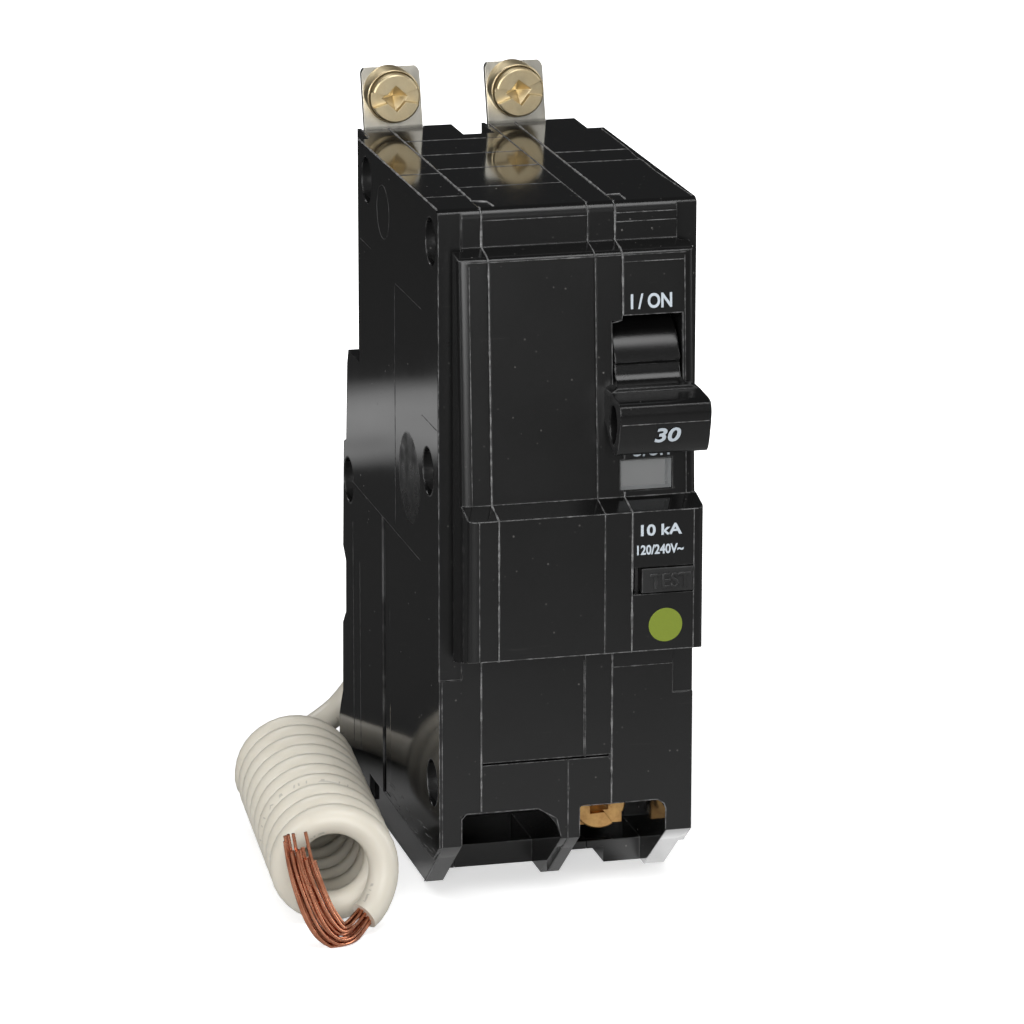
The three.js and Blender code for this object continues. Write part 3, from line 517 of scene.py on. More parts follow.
for name in ("left_cover", "middle_case", "centre_case", "right_case"):
    shell = piece(name + "_skin", merged(name, CASE_ROUNDING), "case", case_black, [name])
    print(name, len(shell.data.polygons), "faces")
button_mesh = merged("test_button", BUTTON_ROUNDING)
piece("test_button_skin", button_mesh, "test_key", button_black, ["test_button"])

# %% [markdown]
# ## The handle
# The handle is one moulding: a round hub that fills the window, a hollow-backed neck and a wide
# paddle with a thumb groove. A side outline carried across the width gives the hub and paddle,
# a front outline trims the neck to flare out, and the two are intersected. A small bevel then
# rounds all its edges.

# %% Handle body
HUB = (2.0, 80.05)
HUB_RADIUS = 7.5
PIN_BORE = 1.9
PADDLE_LEFT, PADDLE_RIGHT = 4.0, 17.4
HUB_LEFT, HUB_RIGHT = 5.58, 15.17
HOLLOW_DEPTH = 3.4
HANDLE_ROUNDING = 0.28


def handle_side():
    """The side outline, from the top of the hub down the front and back under the paddle."""
    y, z = HUB
    neck = [
        (y - 7.0, z + 1.35), (y - 7.28, z + 0.35), (y - 7.55, z - 0.2),
        (y - 8.1, z - 0.7), (y - 9.3, z - 1.08), (y - 10.4, z - 1.2),
    ]
    lip = [(y - 10.6, z - 1.72), (y - 12.2, z - 1.92), (y - 13.9, z - 2.02)]
    nose = [
        (y - 15.1, z - 2.18), (y - 15.8, z - 2.6), (y - 16.14, z - 3.35), (y - 16.18, z - 4.0),
        (y - 15.9, z - 5.6), (y - 15.2, z - 8.1), (y - 14.6, z - 9.45), (y - 13.9, z - 10.05),
    ]
    under = [(y - 12.0, z - 10.05), (y - 11.0, z - 9.3), (y - 8.3, z - 6.95), (y - 5.6, z - 5.0)]
    hub_front = arc(HUB, HUB_RADIUS, 60, 166, 26)
    hub_back = arc(HUB, HUB_RADIUS - 0.05, 222, 410, 36)
    return hub_front + neck + lip + nose + under + hub_back


def handle_flare():
    """The front outline, narrow at the hub and wide at the paddle."""
    z = HUB[1]
    return [
        (HUB_LEFT, z + 8), (HUB_LEFT, z - 0.6), (HUB_LEFT - 0.35, z - 1.1),
        (PADDLE_LEFT + 0.15, z - 1.75), (PADDLE_LEFT, z - 2.4), (PADDLE_LEFT, z - 14),
        (PADDLE_RIGHT, z - 14), (PADDLE_RIGHT, z - 2.4), (PADDLE_RIGHT - 0.15, z - 1.75),
        (HUB_RIGHT + 0.5, z - 1.1), (HUB_RIGHT, z - 0.6), (HUB_RIGHT, z + 8),
    ]


def handle_mesh():
    y, z = HUB
    solid = extruded("handle_side", handle_side(), PADDLE_LEFT, PADDLE_RIGHT)
    front = extruded("handle_front", handle_flare(), -30, -4.6, along="y")
    hub_box = [(HUB_LEFT, z - 12), (HUB_LEFT, z + 12), (HUB_RIGHT, z + 12), (HUB_RIGHT, z - 12)]
    trim = carve(front, extruded("handle_hub", hub_box, -5.2, 30, along="y"), "UNION")
    solid = carve(solid, trim, "INTERSECT")
    hollow = [
        (y - 12.35 + 2.0 * math.cos(t) - 0.25 * math.sin(t), z - 5.95 + 2.9 * math.sin(t))
        for t in rotations(28)
    ]
    for left, right in ((PADDLE_LEFT - 1, PADDLE_LEFT + HOLLOW_DEPTH),
                        (PADDLE_RIGHT - HOLLOW_DEPTH, PADDLE_RIGHT + 1)):
        solid = carve(solid, extruded("handle_hollow", hollow, left, right))
    solid = carve(solid, extruded("handle_bore", arc(HUB, PIN_BORE, 0, 345, 23), -5, 25))
    soften(solid, HANDLE_ROUNDING, 3, 34)
    return smooth(plain_mesh(solid), 36)


handle = piece("handle_moulding", handle_mesh(), "handle_body", handle_black, ["handle"])
print("handle faces:", len(handle.data.polygons))

# %% [markdown]
# ## Terminal screws
# The screws take either a flat blade or a square key: a slot crosses the face, and a square
# recess sits over it at an angle, with a pointed floor left by the punch. The threads are a
# stack of rings, one per pitch, and that is a job for Geometry Nodes: a short line of points
# with one ring profile on each.


# %% Thread tree
def socket_id(tree, name):
    return next(item.identifier for item in tree.interface.items_tree if item.name == name)


def new_tree(name, sizes):
    """A tree with a geometry and a finish as inputs, and the sizes that it names."""
    tree = bpy.data.node_groups.new(name, "GeometryNodeTree")
    for label, kind in [("Geometry", "Geometry"), *sizes, ("Finish", "Material")]:
        tree.interface.new_socket(name=label, in_out="INPUT", socket_type="NodeSocket" + kind)
    tree.interface.new_socket(name="Geometry", in_out="OUTPUT", socket_type="NodeSocketGeometry")
    given = tree.nodes.new("NodeGroupInput").outputs
    end = tree.nodes.new("NodeGroupOutput")

    def add(kind, settings=None, values=None):
        made = tree.nodes.new(kind)
        for key, value in (settings or {}).items():
            setattr(made, key, value)
        for key, value in (values or {}).items():
            for one in value if isinstance(value, list) else [value]:
                if isinstance(one, bpy.types.NodeSocket):
                    tree.links.new(one, made.inputs[key])
                else:
                    made.inputs[key].default_value = one
        return made.outputs[0]

    def close(geometry):
        real = add("GeometryNodeRealizeInstances", None, {"Geometry": geometry})
        painted = add("GeometryNodeSetMaterial", None, {"Geometry": real, "Material": given["Finish"]})
        tree.links.new(painted, end.inputs[0])
        return tree

    return given, add, close


def thread_tree():
    given, add, close = new_tree("screw_thread", [
        ("Rings", "Int"), ("Pitch", "Float"), ("Radius", "Float"), ("Depth", "Float"),
    ])
    step = add("ShaderNodeCombineXYZ", None, {"Z": given["Pitch"]})
    points = add("GeometryNodeMeshLine", None, {"Count": given["Rings"], "Offset": step})
    circle = "GeometryNodeCurvePrimitiveCircle"
    path = add(circle, None, {"Resolution": 28, "Radius": given["Radius"]})
    profile = add(circle, None, {"Resolution": 4, "Radius": given["Depth"]})
    ring = add("GeometryNodeCurveToMesh", None, {"Curve": path, "Profile Curve": profile})
    rings = add("GeometryNodeInstanceOnPoints", None, {"Points": points, "Instance": ring})
    return close(add("GeometryNodeJoinGeometry", None, {"Geometry": [given["Geometry"], rings]}))


THREAD = thread_tree()


def use_tree(worked, tree, values):
    """Puts a tree on an object, with each value set by its socket's identifier."""
    modifier = worked.modifiers.new(tree.name, "NODES")
    modifier.node_group = tree
    for label, value in values.items():
        modifier[socket_id(tree, label)] = value
    return worked


print("tree:", THREAD.name, "nodes:", len(THREAD.nodes))


# %% Screw maker
PITCH = 0.8
THREAD_DEPTH = 0.25
RIM = 0.22
KEY_SHARE = 0.78  # the square recess's width as a share of the head's radius
KEY_DEPTH = 1.1
HALF_DIAGONAL = 0.7071  # of a square one unit wide
SLOT_NARROW, SLOT_WIDE = 0.65, 1.3


def turned_solid(name, profile, sides=64):
    """Turns (radius, height) points about the Z axis, in millimetres."""

    def fill(bm):
        rings = [
            [bm.verts.new(Vector((*on_circle((0, 0), radius, a), height)) * MM) for a in rotations(sides)]
            for radius, height in profile
        ]
        for lower, upper in zip(rings, rings[1:]):
            wall(bm, lower, upper)
        bm.faces.new(rings[0][::-1])
        bm.faces.new(rings[-1])

    return linked(name, mesh_of(name, fill))


def square_key(size, depth):
    """A square block about the origin, turned by an eighth of a turn."""
    mesh = mesh_of("key", lambda bm: bmesh.ops.create_cube(bm, size=1.0))
    mesh.transform(Matrix.Diagonal((size * MM, size * MM, depth * MM, 1)))
    mesh.transform(Matrix.Rotation(math.radians(45), 4, "Z"))
    return linked("key", mesh)


def screw_mesh(name, head, thick, shank, length, finish):
    """A screw that points down -Z with the middle of its face at the origin."""
    core = shank - THREAD_DEPTH
    solid = turned_solid(name, [
        (core * 0.7, -length), (core, -length + 0.5), (core, -thick),
        (head, -thick), (head, -RIM), (head - RIM, 0),
    ])
    square = head * KEY_SHARE
    inner, outer = 0.5 * square, head + 0.3
    bow = [
        (-outer, -SLOT_WIDE), (-inner, -SLOT_NARROW), (inner, -SLOT_NARROW), (outer, -SLOT_WIDE),
        (outer, SLOT_WIDE), (inner, SLOT_NARROW), (-inner, SLOT_NARROW), (-outer, SLOT_WIDE),
    ]
    solid = carve(solid, extruded("slot", bow, -1.1, 0.5, along="z"))
    solid = carve(solid, square_key(square, 2 * KEY_DEPTH))
    corner = square * HALF_DIAGONAL
    solid = carve(solid, turned_solid("point", [(0.02, -2.6), (corner, -KEY_DEPTH), (corner, 0.2)], 4))
    soften(solid, 0.07, 2, 40)
    worked = linked(name, plain_mesh(solid))
    to_tip = Vector((0, 0, (length - PITCH) * MM))
    worked.data.transform(Matrix.Translation(to_tip))
    made = plain_mesh(use_tree(worked, THREAD, {
        "Rings": int((length - thick - 0.9) / PITCH), "Pitch": PITCH * MM,
        "Radius": core * MM, "Depth": THREAD_DEPTH * MM, "Finish": finish,
    }))
    made.transform(Matrix.Translation(-to_tip))
    return smooth(made, 32)


def aim(mesh, face_at, axis, turn):
    """Moves a screw so that its face is at a point and its shank runs along axis."""
    swing = Vector((0, 0, -1)).rotation_difference(Vector(axis).normalized()).to_matrix().to_4x4()
    mesh.transform(Matrix.Translation(face_at) @ swing @ Matrix.Rotation(turn, 4, "Z"))
    return mesh


def joint_named(name):
    return next(j for j in frame["joints"] if j["name"] == name)


LINE_SCREW = (3.7, 1.5, 2.4, 9.5, brass)  # head radius, head thickness, shank radius, length
LOAD_SCREW = (4.0, 2.0, 2.4, 9.4, old_brass)
SCREWS = {
    "line_screw_left": (LINE_SCREW, 3), "line_screw_right": (LINE_SCREW, 8),
    "load_screw_left": (LOAD_SCREW, 25), "load_screw_right": (LOAD_SCREW, -42),
}
for name, (sizes, turn) in SCREWS.items():
    joint = joint_named(name.replace("screw", "screw_turn"))
    mesh = screw_mesh(name + "_turned", *sizes)
    aim(mesh, Vector(joint["pos_m"]), joint["axis"], math.radians(turn))
    screw = piece(name + "_turned", mesh, name, sizes[-1], [name])
print("screws:", len(SCREWS), "faces each:", len(screw.data.polygons))

# %% [markdown]
# ## Line tabs
# Each tab is a strap of tinned copper that leaves the case, stands up and leans back. The strap
# is a bent side outline carried across its width, with its two top corners clipped round. The
# screw goes through a raised brass cup, whose thin rim shows behind the screw's head.

# %% Tabs
TAB_SLOPE = math.tan(math.radians(15.6))
TAB_X = {"left": -12.0, "right": 7.2}
INNER = {"left": (-15.6, -8.2), "right": (4.54, 11.5)}
TAB_HALF = 4.5
TAB_FRONT = 58.05
TAB_THICK = 1
CASE_TOP = 104.1
TAB_TOP = 113.2
LINE_SCREW_Z = 109.3


def tab_mesh(x):
    top = TAB_FRONT + 8.7 * TAB_SLOPE
    side = [
        (TAB_FRONT, 91.4), (TAB_FRONT, CASE_TOP + 0.35), (TAB_FRONT + 0.06, CASE_TOP + 0.6),
        (top - 0.06, TAB_TOP - 0.25), (top, TAB_TOP), (top + TAB_THICK, TAB_TOP - 0.25),
        (TAB_FRONT + TAB_THICK, CASE_TOP + 0.25), (TAB_FRONT + TAB_THICK, 91.4),
    ]
    strap = extruded("tab_side", side, x - TAB_HALF, x + TAB_HALF)
    corner = 1.25
    round_z = TAB_TOP + 0.1 - corner
    right = arc((x + TAB_HALF - corner, round_z), corner, 0, 90, 8)
    left = arc((x - TAB_HALF + corner, round_z), corner, 90, 180, 8)
    face = [(x - TAB_HALF - 0.1, 90), (x + TAB_HALF + 0.1, 90), *right, *left]
    strap = carve(strap, extruded("tab_face", face, 50, 70, along="y"), "INTERSECT")
    soften(strap, 0.16, 3, 40)
    return smooth(plain_mesh(strap), 35)


def cup_mesh(side):
    """A brass cup round the screw, whose wall runs back to the leaning strap."""
    middle = Vector(joint_named("line_screw_turn_" + side)["pos_m"]) / MM
    x, y, z = middle + Vector((0, FOOTPRINT_MIDDLE, 0))
    profile = [  # radius, and depth behind the screw's face where it isn't the strap itself
        (4.1, None), (4.12, 1.95), (4.05, 1.72), (3.94, 1.66), (3.82, 1.72), (3.76, 1.95),
        (3.7, 2.7), (2.7, 2.75), (2.7, None),
    ]

    def fill(bm):
        rings = []
        for radius, depth in profile:
            ring = []
            for angle in rotations(64):
                over, up = on_circle((x, z), radius, angle)
                strap = TAB_FRONT + (up - CASE_TOP - 0.4) * TAB_SLOPE + 0.2
                ring.append(bm.verts.new(place(over, strap if depth is None else y + depth, up)))
            rings.append(ring)
        for lower, upper in zip(rings, rings[1:] + rings[:1]):
            wall(bm, lower, upper)

    return smooth(mesh_of("cup_" + side, fill), 50)


def inner_strap(name, x0, x1):
    """The part of the strap inside the case, from the line opening down to the fixed contact."""
    side = [(53, 78.05), (53, 92.1), (58.5, 92.1), (58.5, 91.1), (54, 91.1), (54, 78.05)]
    return extruded(name, side, x0, x1)


for side, x in TAB_X.items():
    strap = linked("tab_" + side, tab_mesh(x))
    hole = arc((x - 0.3, LINE_SCREW_Z), 2.65, 0, 350, 35)
    carve(strap, extruded("tab_hole", hole, 50, 70, along="y"))
    carve(strap, inner_strap("inner_" + side, *INNER[side]), "UNION")
    strap_mesh = smooth(plain_mesh(strap), 35)
    piece("line_tab_strap_" + side, strap_mesh, "case", tin, ["line_tab_" + side])
    piece("line_tab_cup_" + side, cup_mesh(side), "case", brass)
print("tab faces:", len(strap_mesh.polygons))

# %% [markdown]
# ## Rivets
# Five rivets hold the mouldings together, and each has a rolled head at the bottom of a round
# recess on both sides. The frame's own rivets are what shows there. The tree below puts a dished
# head over each as an instance on a point, but at this size its boolean keeps only a sliver.


# %% Rivet tree
HEAD_RADIUS = 3.0
HEAD_HEIGHT = 0.75
DISH_SHARE = 0.42
RIVETS = [(4.5, 98.75), (45.75, 99.1), (6.5, 64.45), (59.4, 49.2), (4.4, 17.9)]
HEAD_AT = 17.0


def rivet_tree():
    given, add, close = new_tree("rivet_heads", [("Radius", "Float"), ("Height", "Float")])
    radius, height = given["Radius"], given["Height"]
    size = add("ShaderNodeCombineXYZ", None, {"X": radius, "Y": radius, "Z": height})
    lift = add("ShaderNodeCombineXYZ", None, {"Z": height})
    dome = add("GeometryNodeMeshUVSphere", None, {"Segments": 32, "Rings": 16, "Radius": 1.0})
    flat = add("GeometryNodeTransform", None, {"Geometry": dome, "Scale": size})
    hole = add("GeometryNodeMeshUVSphere", None, {"Segments": 24, "Rings": 12, "Radius": DISH_SHARE})
    small = add("GeometryNodeTransform", None, {"Geometry": hole, "Scale": size})
    raised = add("GeometryNodeTransform", None, {"Geometry": small, "Translation": lift})
    dish = add("GeometryNodeMeshBoolean", {"operation": "DIFFERENCE"}, {"Mesh 1": flat, "Mesh 2": raised})
    outward = add("GeometryNodeInputNormal")
    turn = add("FunctionNodeAlignRotationToVector", {"axis": "Z"}, {"Vector": outward})
    return close(add("GeometryNodeInstanceOnPoints", None, {
        "Points": given["Geometry"], "Instance": dish, "Rotation": turn,
    }))


def rivets():
    tree = rivet_tree()
    joined = bmesh.new()
    for side in (-1, 1):
        for y, z in RIVETS:
            spot = place(side * HEAD_AT, y, z)
            seed = bpy.data.meshes.new("rivet_seed")
            seed.from_pydata([spot], [], [])
            mesh = plain_mesh(use_tree(linked("rivet_seed", seed), tree, {
                "Radius": HEAD_RADIUS * MM, "Height": HEAD_HEIGHT * MM, "Finish": steel,
            }))
            swing = Vector((0, 0, 1)).rotation_difference(Vector((side, 0, 0))).to_matrix().to_4x4()
            mesh.transform(Matrix.Translation(spot) @ swing @ Matrix.Translation(-spot))
            joined.from_mesh(mesh)
    return smooth(taken(joined, "rivet_heads"), 40)


rivet_heads = piece("rivet_heads", rivets(), "case", steel)
print("rivet head faces:", len(rivet_heads.data.polygons))

# %% [markdown]
# ## The pigtail
# The white pigtail is a stranded wire wound tightly on itself. It leaves the back of the case,
# lies on the floor and goes into the coil from behind. The coil is a rule, not a drawing: the
# angle grows evenly while the wire advances one diameter per turn, so a loop writes its points.
# A round section carried along the points, with a UV map that measures along the wire, gives
# the insulation.

# %% Pigtail route
WIRE = 4.4
COIL_RADIUS = 9.24
COIL_FRONT = (-35.86, -7.6)
COIL_LENGTH = 50.4
COIL_YAW = math.radians(4.7)
COIL_START, COIL_END = math.radians(-104), math.radians(156 + 360 * 9)
LOOSE_END = math.radians(75)  # how far round from its end the last turn stands off
GLAND = (-9.0, 64.55, 19.3)
TURN_POINTS = 24


def coil_frame(along, angle, radius):
    """A point of the coil: along its axis from the front end, angle clockwise from the top."""
    over = radius * math.sin(angle)
    x = COIL_FRONT[0] + along * math.sin(COIL_YAW) + over * math.cos(COIL_YAW)
    y = COIL_FRONT[1] + along * math.cos(COIL_YAW) - over * math.sin(COIL_YAW)
    return place(x, y, COIL_RADIUS + radius * math.cos(angle))


def lead_route():
    """From the grommet to the back of the coil, as listed points."""
    gx, gy, gz = GLAND
    rest = WIRE / 2 + 0.15
    back_x = COIL_FRONT[0] + COIL_LENGTH * math.sin(COIL_YAW)
    back_y = COIL_FRONT[1] + COIL_LENGTH * math.cos(COIL_YAW)
    return [place(*point) for point in (
        (gx, gy + 3.3, gz), (gx, gy + 6, gz), (gx - 0.4, gy + 9.5, gz - 1.1),
        (gx - 1.6, gy + 13, gz - 4.4), (gx - 3.8, gy + 15.3, gz - 9), (gx - 7.4, gy + 15.8, gz - 13.6),
        (gx - 12.4, gy + 13.6, rest + 0.85), (gx - 17.2, gy + 8.4, rest), (gx - 20.6, gy + 1.6, rest),
        (gx - 23.2, gy - 5.6, rest), (back_x - 1.8, back_y + 9.4, rest + 0.15),
        (back_x - 4.2, back_y + 4.0, rest + 1.35),
    )]


def coil_route():
    """The turns, from the back end to the front, with the last one standing off a little."""
    mean = COIL_RADIUS - WIRE / 2
    travel = COIL_LENGTH - WIRE
    steps = int((COIL_END - COIL_START) / (2 * math.pi) * TURN_POINTS)
    wound = []
    for i in range(steps + 1):
        share = i / steps
        angle = COIL_START + (COIL_END - COIL_START) * share
        loose = max(0.0, 1 - (COIL_END - angle) / LOOSE_END) ** 2
        along = COIL_LENGTH - WIRE / 2 - travel * share - 2.2 * loose
        spot = coil_frame(along, angle, mean + 1.0 * loose)
        spot.z = max(spot.z, (WIRE / 2 + 0.05) * MM)
        wound.append(spot)
    return wound


def smooth_line(points, spacing):
    """A Catmull-Rom curve through the points, resampled at an even spacing."""
    dense = []
    padded = [points[0] * 2 - points[1], *points, points[-1] * 2 - points[-2]]
    for a, b, c, d in zip(padded, padded[1:], padded[2:], padded[3:]):
        for k in range(12):
            t = k / 12
            square = (2 * a - 5 * b + 4 * c - d) * t * t
            cube = (3 * b - a - 3 * c + d) * t * t * t
            dense.append(0.5 * (2 * b + (c - a) * t + square + cube))
    dense.append(points[-1])
    line = [dense[0]]
    for point in dense[1:]:
        if (point - line[-1]).length >= spacing:
            line.append(point)
    return line


def length_of(line):
    return sum((b - a).length for a, b in zip(line, line[1:]))


pigtail_line = smooth_line([*lead_route(), *coil_route()], 1.1 * MM)
pigtail_length = length_of(pigtail_line)
print("pigtail length:", round(pigtail_length, 4), "points:", len(pigtail_line))


# %% Insulation
UV_PER_METRE = 100


def tube(name, line, radius, sides=24):
    """A round section along a line. UV's U is the distance along it and V goes round it."""
    bm = bmesh.new()
    uv_layer = bm.loops.layers.uv.new("UVMap")
    last = len(line) - 1
    tangents = [(line[min(i + 1, last)] - line[max(i - 1, 0)]).normalized() for i in range(last + 1)]
    side = tangents[0].orthogonal().normalized()
    rings, distances, run = [], [], 0.0
    for i, (point, tangent) in enumerate(zip(line, tangents)):
        if i:
            run += (point - line[i - 1]).length
            side = (side - tangent * side.dot(tangent)).normalized()
        other = tangent.cross(side)
        rings.append([
            bm.verts.new(point + (side * math.cos(a) + other * math.sin(a)) * radius)
            for a in rotations(sides)
        ])
        distances.append(run)
    for i in range(last):
        for k in range(sides):
            j = (k + 1) % sides
            face = bm.faces.new((rings[i][k], rings[i][j], rings[i + 1][j], rings[i + 1][k]))
            around = (k / sides, (k + 1) / sides, (k + 1) / sides, k / sides)
            along = (distances[i], distances[i], distances[i + 1], distances[i + 1])
            for loop, u, v in zip(face.loops, along, around):
                loop[uv_layer].uv = (u * UV_PER_METRE, v)
    bm.faces.new(rings[0][::-1])
    bm.faces.new(rings[-1])
    return smooth(taken(bm, name), 50)


def insulation():
    paint = Paint("white_insulation")
    print_at = paint.node("ShaderNodeUVMap", {"uv_map": "UVMap"})
    along = paint.node("ShaderNodeSeparateXYZ", None, {0: print_at})
    around = Wire(paint, along.socket.node.outputs[1])
    marks = paint.node("ShaderNodeTexVoronoi", {"feature": "DISTANCE_TO_EDGE"}, {
        "Vector": print_at, "Scale": 6.0, "Randomness": 0.7})
    dashes = (1 - marks.above(0.03, 0.03)) * around.near(0.42, 0.012, 0.01)
    stretch = (along * 0.31).math("FRACT").above(0.45, 0.02)
    ink = dashes * stretch * 0.4
    grime = paint.noise(150, 4, 0.6).above(0.56, 0.2) * 0.22
    clean = paint.blend(paint.noise(60, 2), (0.56, 0.52, 0.44, 1), (0.63, 0.6, 0.52, 1))
    dirty = paint.blend(grime, clean, (0.42, 0.38, 0.3, 1))
    colour = paint.blend(ink, dirty, grey(0.12))
    rough = (paint.noise(220, 3) * 0.18 + 0.3).clamped()
    normal = paint.bump(paint.noise(420, 3), 0.12, 0.0001)
    return paint.finish({
        "Base Color": colour, "Roughness": rough, "Normal": normal,
        "Subsurface Weight": 0.12, "Subsurface Radius": (0.9, 0.7, 0.5), "Subsurface Scale": 0.001,
    })


jacket = insulation()
wire_mesh = tube("pigtail_wire", pigtail_line, WIRE / 2 * MM)
pigtail = piece("pigtail_wire", wire_mesh, "case", jacket, ["pigtail_lead", "pigtail_coil"])
print("pigtail faces:", len(wire_mesh.polygons))

# %% [markdown]
# ## Bare strands
# Where the insulation stops, the strands of copper leave it in a flat sweep: down to the floor,
# then up across the front of the coil. Each strand follows the same path with its own place in
# the bundle, turns slowly round its neighbours and ends a little sooner or later. A tree that
# turns edges into thin wires gives them all their section at once.


# %% Wire tree
def wire_tree():
    given, add, close = new_tree("round_wires", [
        ("Radius", "Float"), ("Sides", "Int"), ("Uneven", "Float"), ("Grain", "Float"), ("Seed", "Float"),
    ])
    line = add("GeometryNodeMeshToCurve", None, {"Mesh": given["Geometry"]})
    noise = {"W": given["Seed"], "Scale": given["Grain"]}
    patch = add("ShaderNodeTexNoise", {"noise_dimensions": "4D"}, noise)
    span = {"From Min": 0.3, "From Max": 0.7, "To Min": -1.0, "To Max": 1.0}
    swing = add("ShaderNodeMapRange", None, {"Value": patch, **span})
    change = add("ShaderNodeMath", {"operation": "MULTIPLY"}, {0: swing, 1: given["Uneven"]})
    share = add("ShaderNodeMath", {"operation": "ADD"}, {0: change, 1: 1.0})
    width = add("ShaderNodeMath", {"operation": "MULTIPLY"}, {0: share, 1: given["Radius"]})
    circle = {"Resolution": given["Sides"], "Radius": 1.0}
    profile = add("GeometryNodeCurvePrimitiveCircle", None, circle)
    return close(add("GeometryNodeCurveToMesh", None, {
        "Curve": line, "Profile Curve": profile, "Scale": width, "Fill Caps": True,
    }))


WIRES = wire_tree()


def wires(name, lines, radius, sides, finish, uneven=0.0, grain=100.0, seed=1.0):
    verts, edges = [], []
    for line in lines:
        base = len(verts)
        verts += [tuple(point) for point in line]
        edges += [(base + i, base + i + 1) for i in range(len(line) - 1)]
    mesh = bpy.data.meshes.new(name)
    mesh.from_pydata(verts, edges, [])
    return plain_mesh(use_tree(linked(name, mesh), WIRES, {
        "Radius": radius * MM, "Sides": sides, "Uneven": uneven, "Grain": grain, "Seed": seed,
        "Finish": finish,
    }))


print("tree:", WIRES.name, "nodes:", len(WIRES.nodes))


# %% Strands
STRAND_RADIUS = 0.25
BUNDLE = ((0.56, 6), (1.12, 12))  # rings round the middle strand: radius and number of strands


def strand_path():
    """The middle of the bundle: out of the insulation, down, and up across the coil."""
    cut = pigtail_line[-1]
    out = (pigtail_line[-1] - pigtail_line[-3]).normalized()
    cx, cy = COIL_FRONT
    return smooth_line([
        cut - out * 2.5 * MM, cut + out * 0.4 * MM,
        place(cx + 0.3, cy - 4.1, 1.4), place(cx - 1.7, cy - 4.9, 2.0), place(cx - 3.6, cy - 4.9, 4.6),
        place(cx - 5.1, cy - 4.5, 8.4), place(cx - 6.3, cy - 4.1, 12.6), place(cx - 7.1, cy - 3.8, 17.2),
    ], 0.5 * MM)


def strands():
    chance = random.Random(11)
    middle = strand_path()
    last = len(middle) - 1
    spots = [(0.0, 0.0)]
    for radius, count in BUNDLE:
        spots += [on_circle((0, 0), radius, angle) for angle in rotations(count)]
    lines = []
    for across, up in spots:
        ends = len(middle) - chance.randint(0, 6)
        phase, swing = chance.uniform(0, 6.28), chance.uniform(0.04, 0.16)
        drift = chance.uniform(-0.3, 0.3)
        line = []
        for i in range(ends):
            tangent = (middle[min(i + 1, last)] - middle[max(i - 1, 0)]).normalized()
            side = Vector((0, -1, 0)).cross(tangent).normalized()
            other = tangent.cross(side)
            share = i / last
            opened = min(1.0, 2.2 * share)
            fan = 1 + 0.95 * opened * (1 - 0.35 * share)
            flat = 1 - 0.45 * opened
            wave = swing * math.sin(phase + 7 * share) * min(1.0, 4 * share)
            offset = side * (across * fan + drift * share + wave) + other * (up * flat + wave)
            point = middle[i] + offset * MM
            point.z = max(point.z, 0.3 * MM)
            line.append(point)
        lines.append(line)
    return wires("bare_strands", lines, STRAND_RADIUS, 10, strand_copper)


strand_mesh = smooth(strands(), 50)
bare = piece("bare_strands", strand_mesh, "case", strand_copper, ["pigtail_strands"])
print("strand faces:", len(strand_mesh.polygons))

# %% [markdown]
# ## Parting lines and painted edge highlights
# A moulded shell shows where its tool closed: a thin raised line, coloured pale. The lines run
# along the seams of the shells and along each change of face. Along the steps, the edges, the
# front-left corner and the handle's paddle, that pale colour is a painted highlight where the
# edge catches light. The lines are written as paths on the surface, and the same wire tree gives
# them a hair-thin, uneven section that sits half sunk.

# %% Line finish
def line_paint(name, light, dark):
    paint = Paint(name)
    broken = paint.noise(700, 5, 0.75)
    colour = paint.blend(broken.above(0.42, 0.2), dark, light)
    rough = (broken * 0.2 + 0.5).clamped()
    return paint.finish({"Base Color": colour, "Roughness": rough})


# This first finish is a painted highlight: on the handle's step and along the steps and edges of the case,
# its pale colour stands for light caught by the edge.
pale_line_and_highlight = line_paint("line_paint", grey(0.15), grey(0.025))
faint = line_paint("faint_line", grey(0.06), grey(0.012))
rubbed_hard = line_paint("rubbed_seam", grey(0.24), grey(0.06))

# %% Where the lines run
LEFT_SEAM, MIDDLE_SEAM, RIGHT_SEAM = -12.75, 2.84, 6.87
FOOT_SEAM = 0.3
CRACK = 21.5
UPPER_NOSE, LOWER_NOSE = -6.3, -10.6  # how far the two steps of the nose stand out
STEP = 62.25
NOSE_FOOT = 40.35
NOSE_LEAN = math.atan(2.0 / 35.3)
SIDE = -19.05


def nose_y(z):
    """Where the leaning face of the upper nose is, at a height."""
    return UPPER_NOSE + (z - STEP) * 2.0 / 35.3


def upper_front(x, foot):
    """A seam's way from the top edge down the upper nose."""
    return [
        (x, 1.4, CASE_TOP), (x, 0.4, 103.7), (x, 0, 102.7), (x, 0, 98.6), (x, -3.3, 97.95),
        (x, -3.95, 97.62), (x, -4.3, 97.0), (x, nose_y(foot), foot),
    ]


def lower_front(x, foot, top=STEP):
    """The rest of its way, over the lower nose to the crack or the foot."""
    return [
        (x, nose_y(top), top), (x, UPPER_NOSE, STEP), (x, LOWER_NOSE, 61.15),
        (x, LOWER_NOSE, NOSE_FOOT), (x, 0, 37.55), (x, 0, foot),
    ]


def down_the_front(x, foot=CRACK):
    return upper_front(x, 62.3)[:-1] + lower_front(x, foot)


def across(x0, x1, y, z):
    return [(x0, y, z), (x1, y, z)]


def on_top(*points):
    return [(x, y, CASE_TOP) for x, y in points]


def on_front(*points, y=0):
    return [(x, y, z) for x, z in points]


def on_side(*points, x=SIDE):
    return [(x, y, z) for y, z in points]


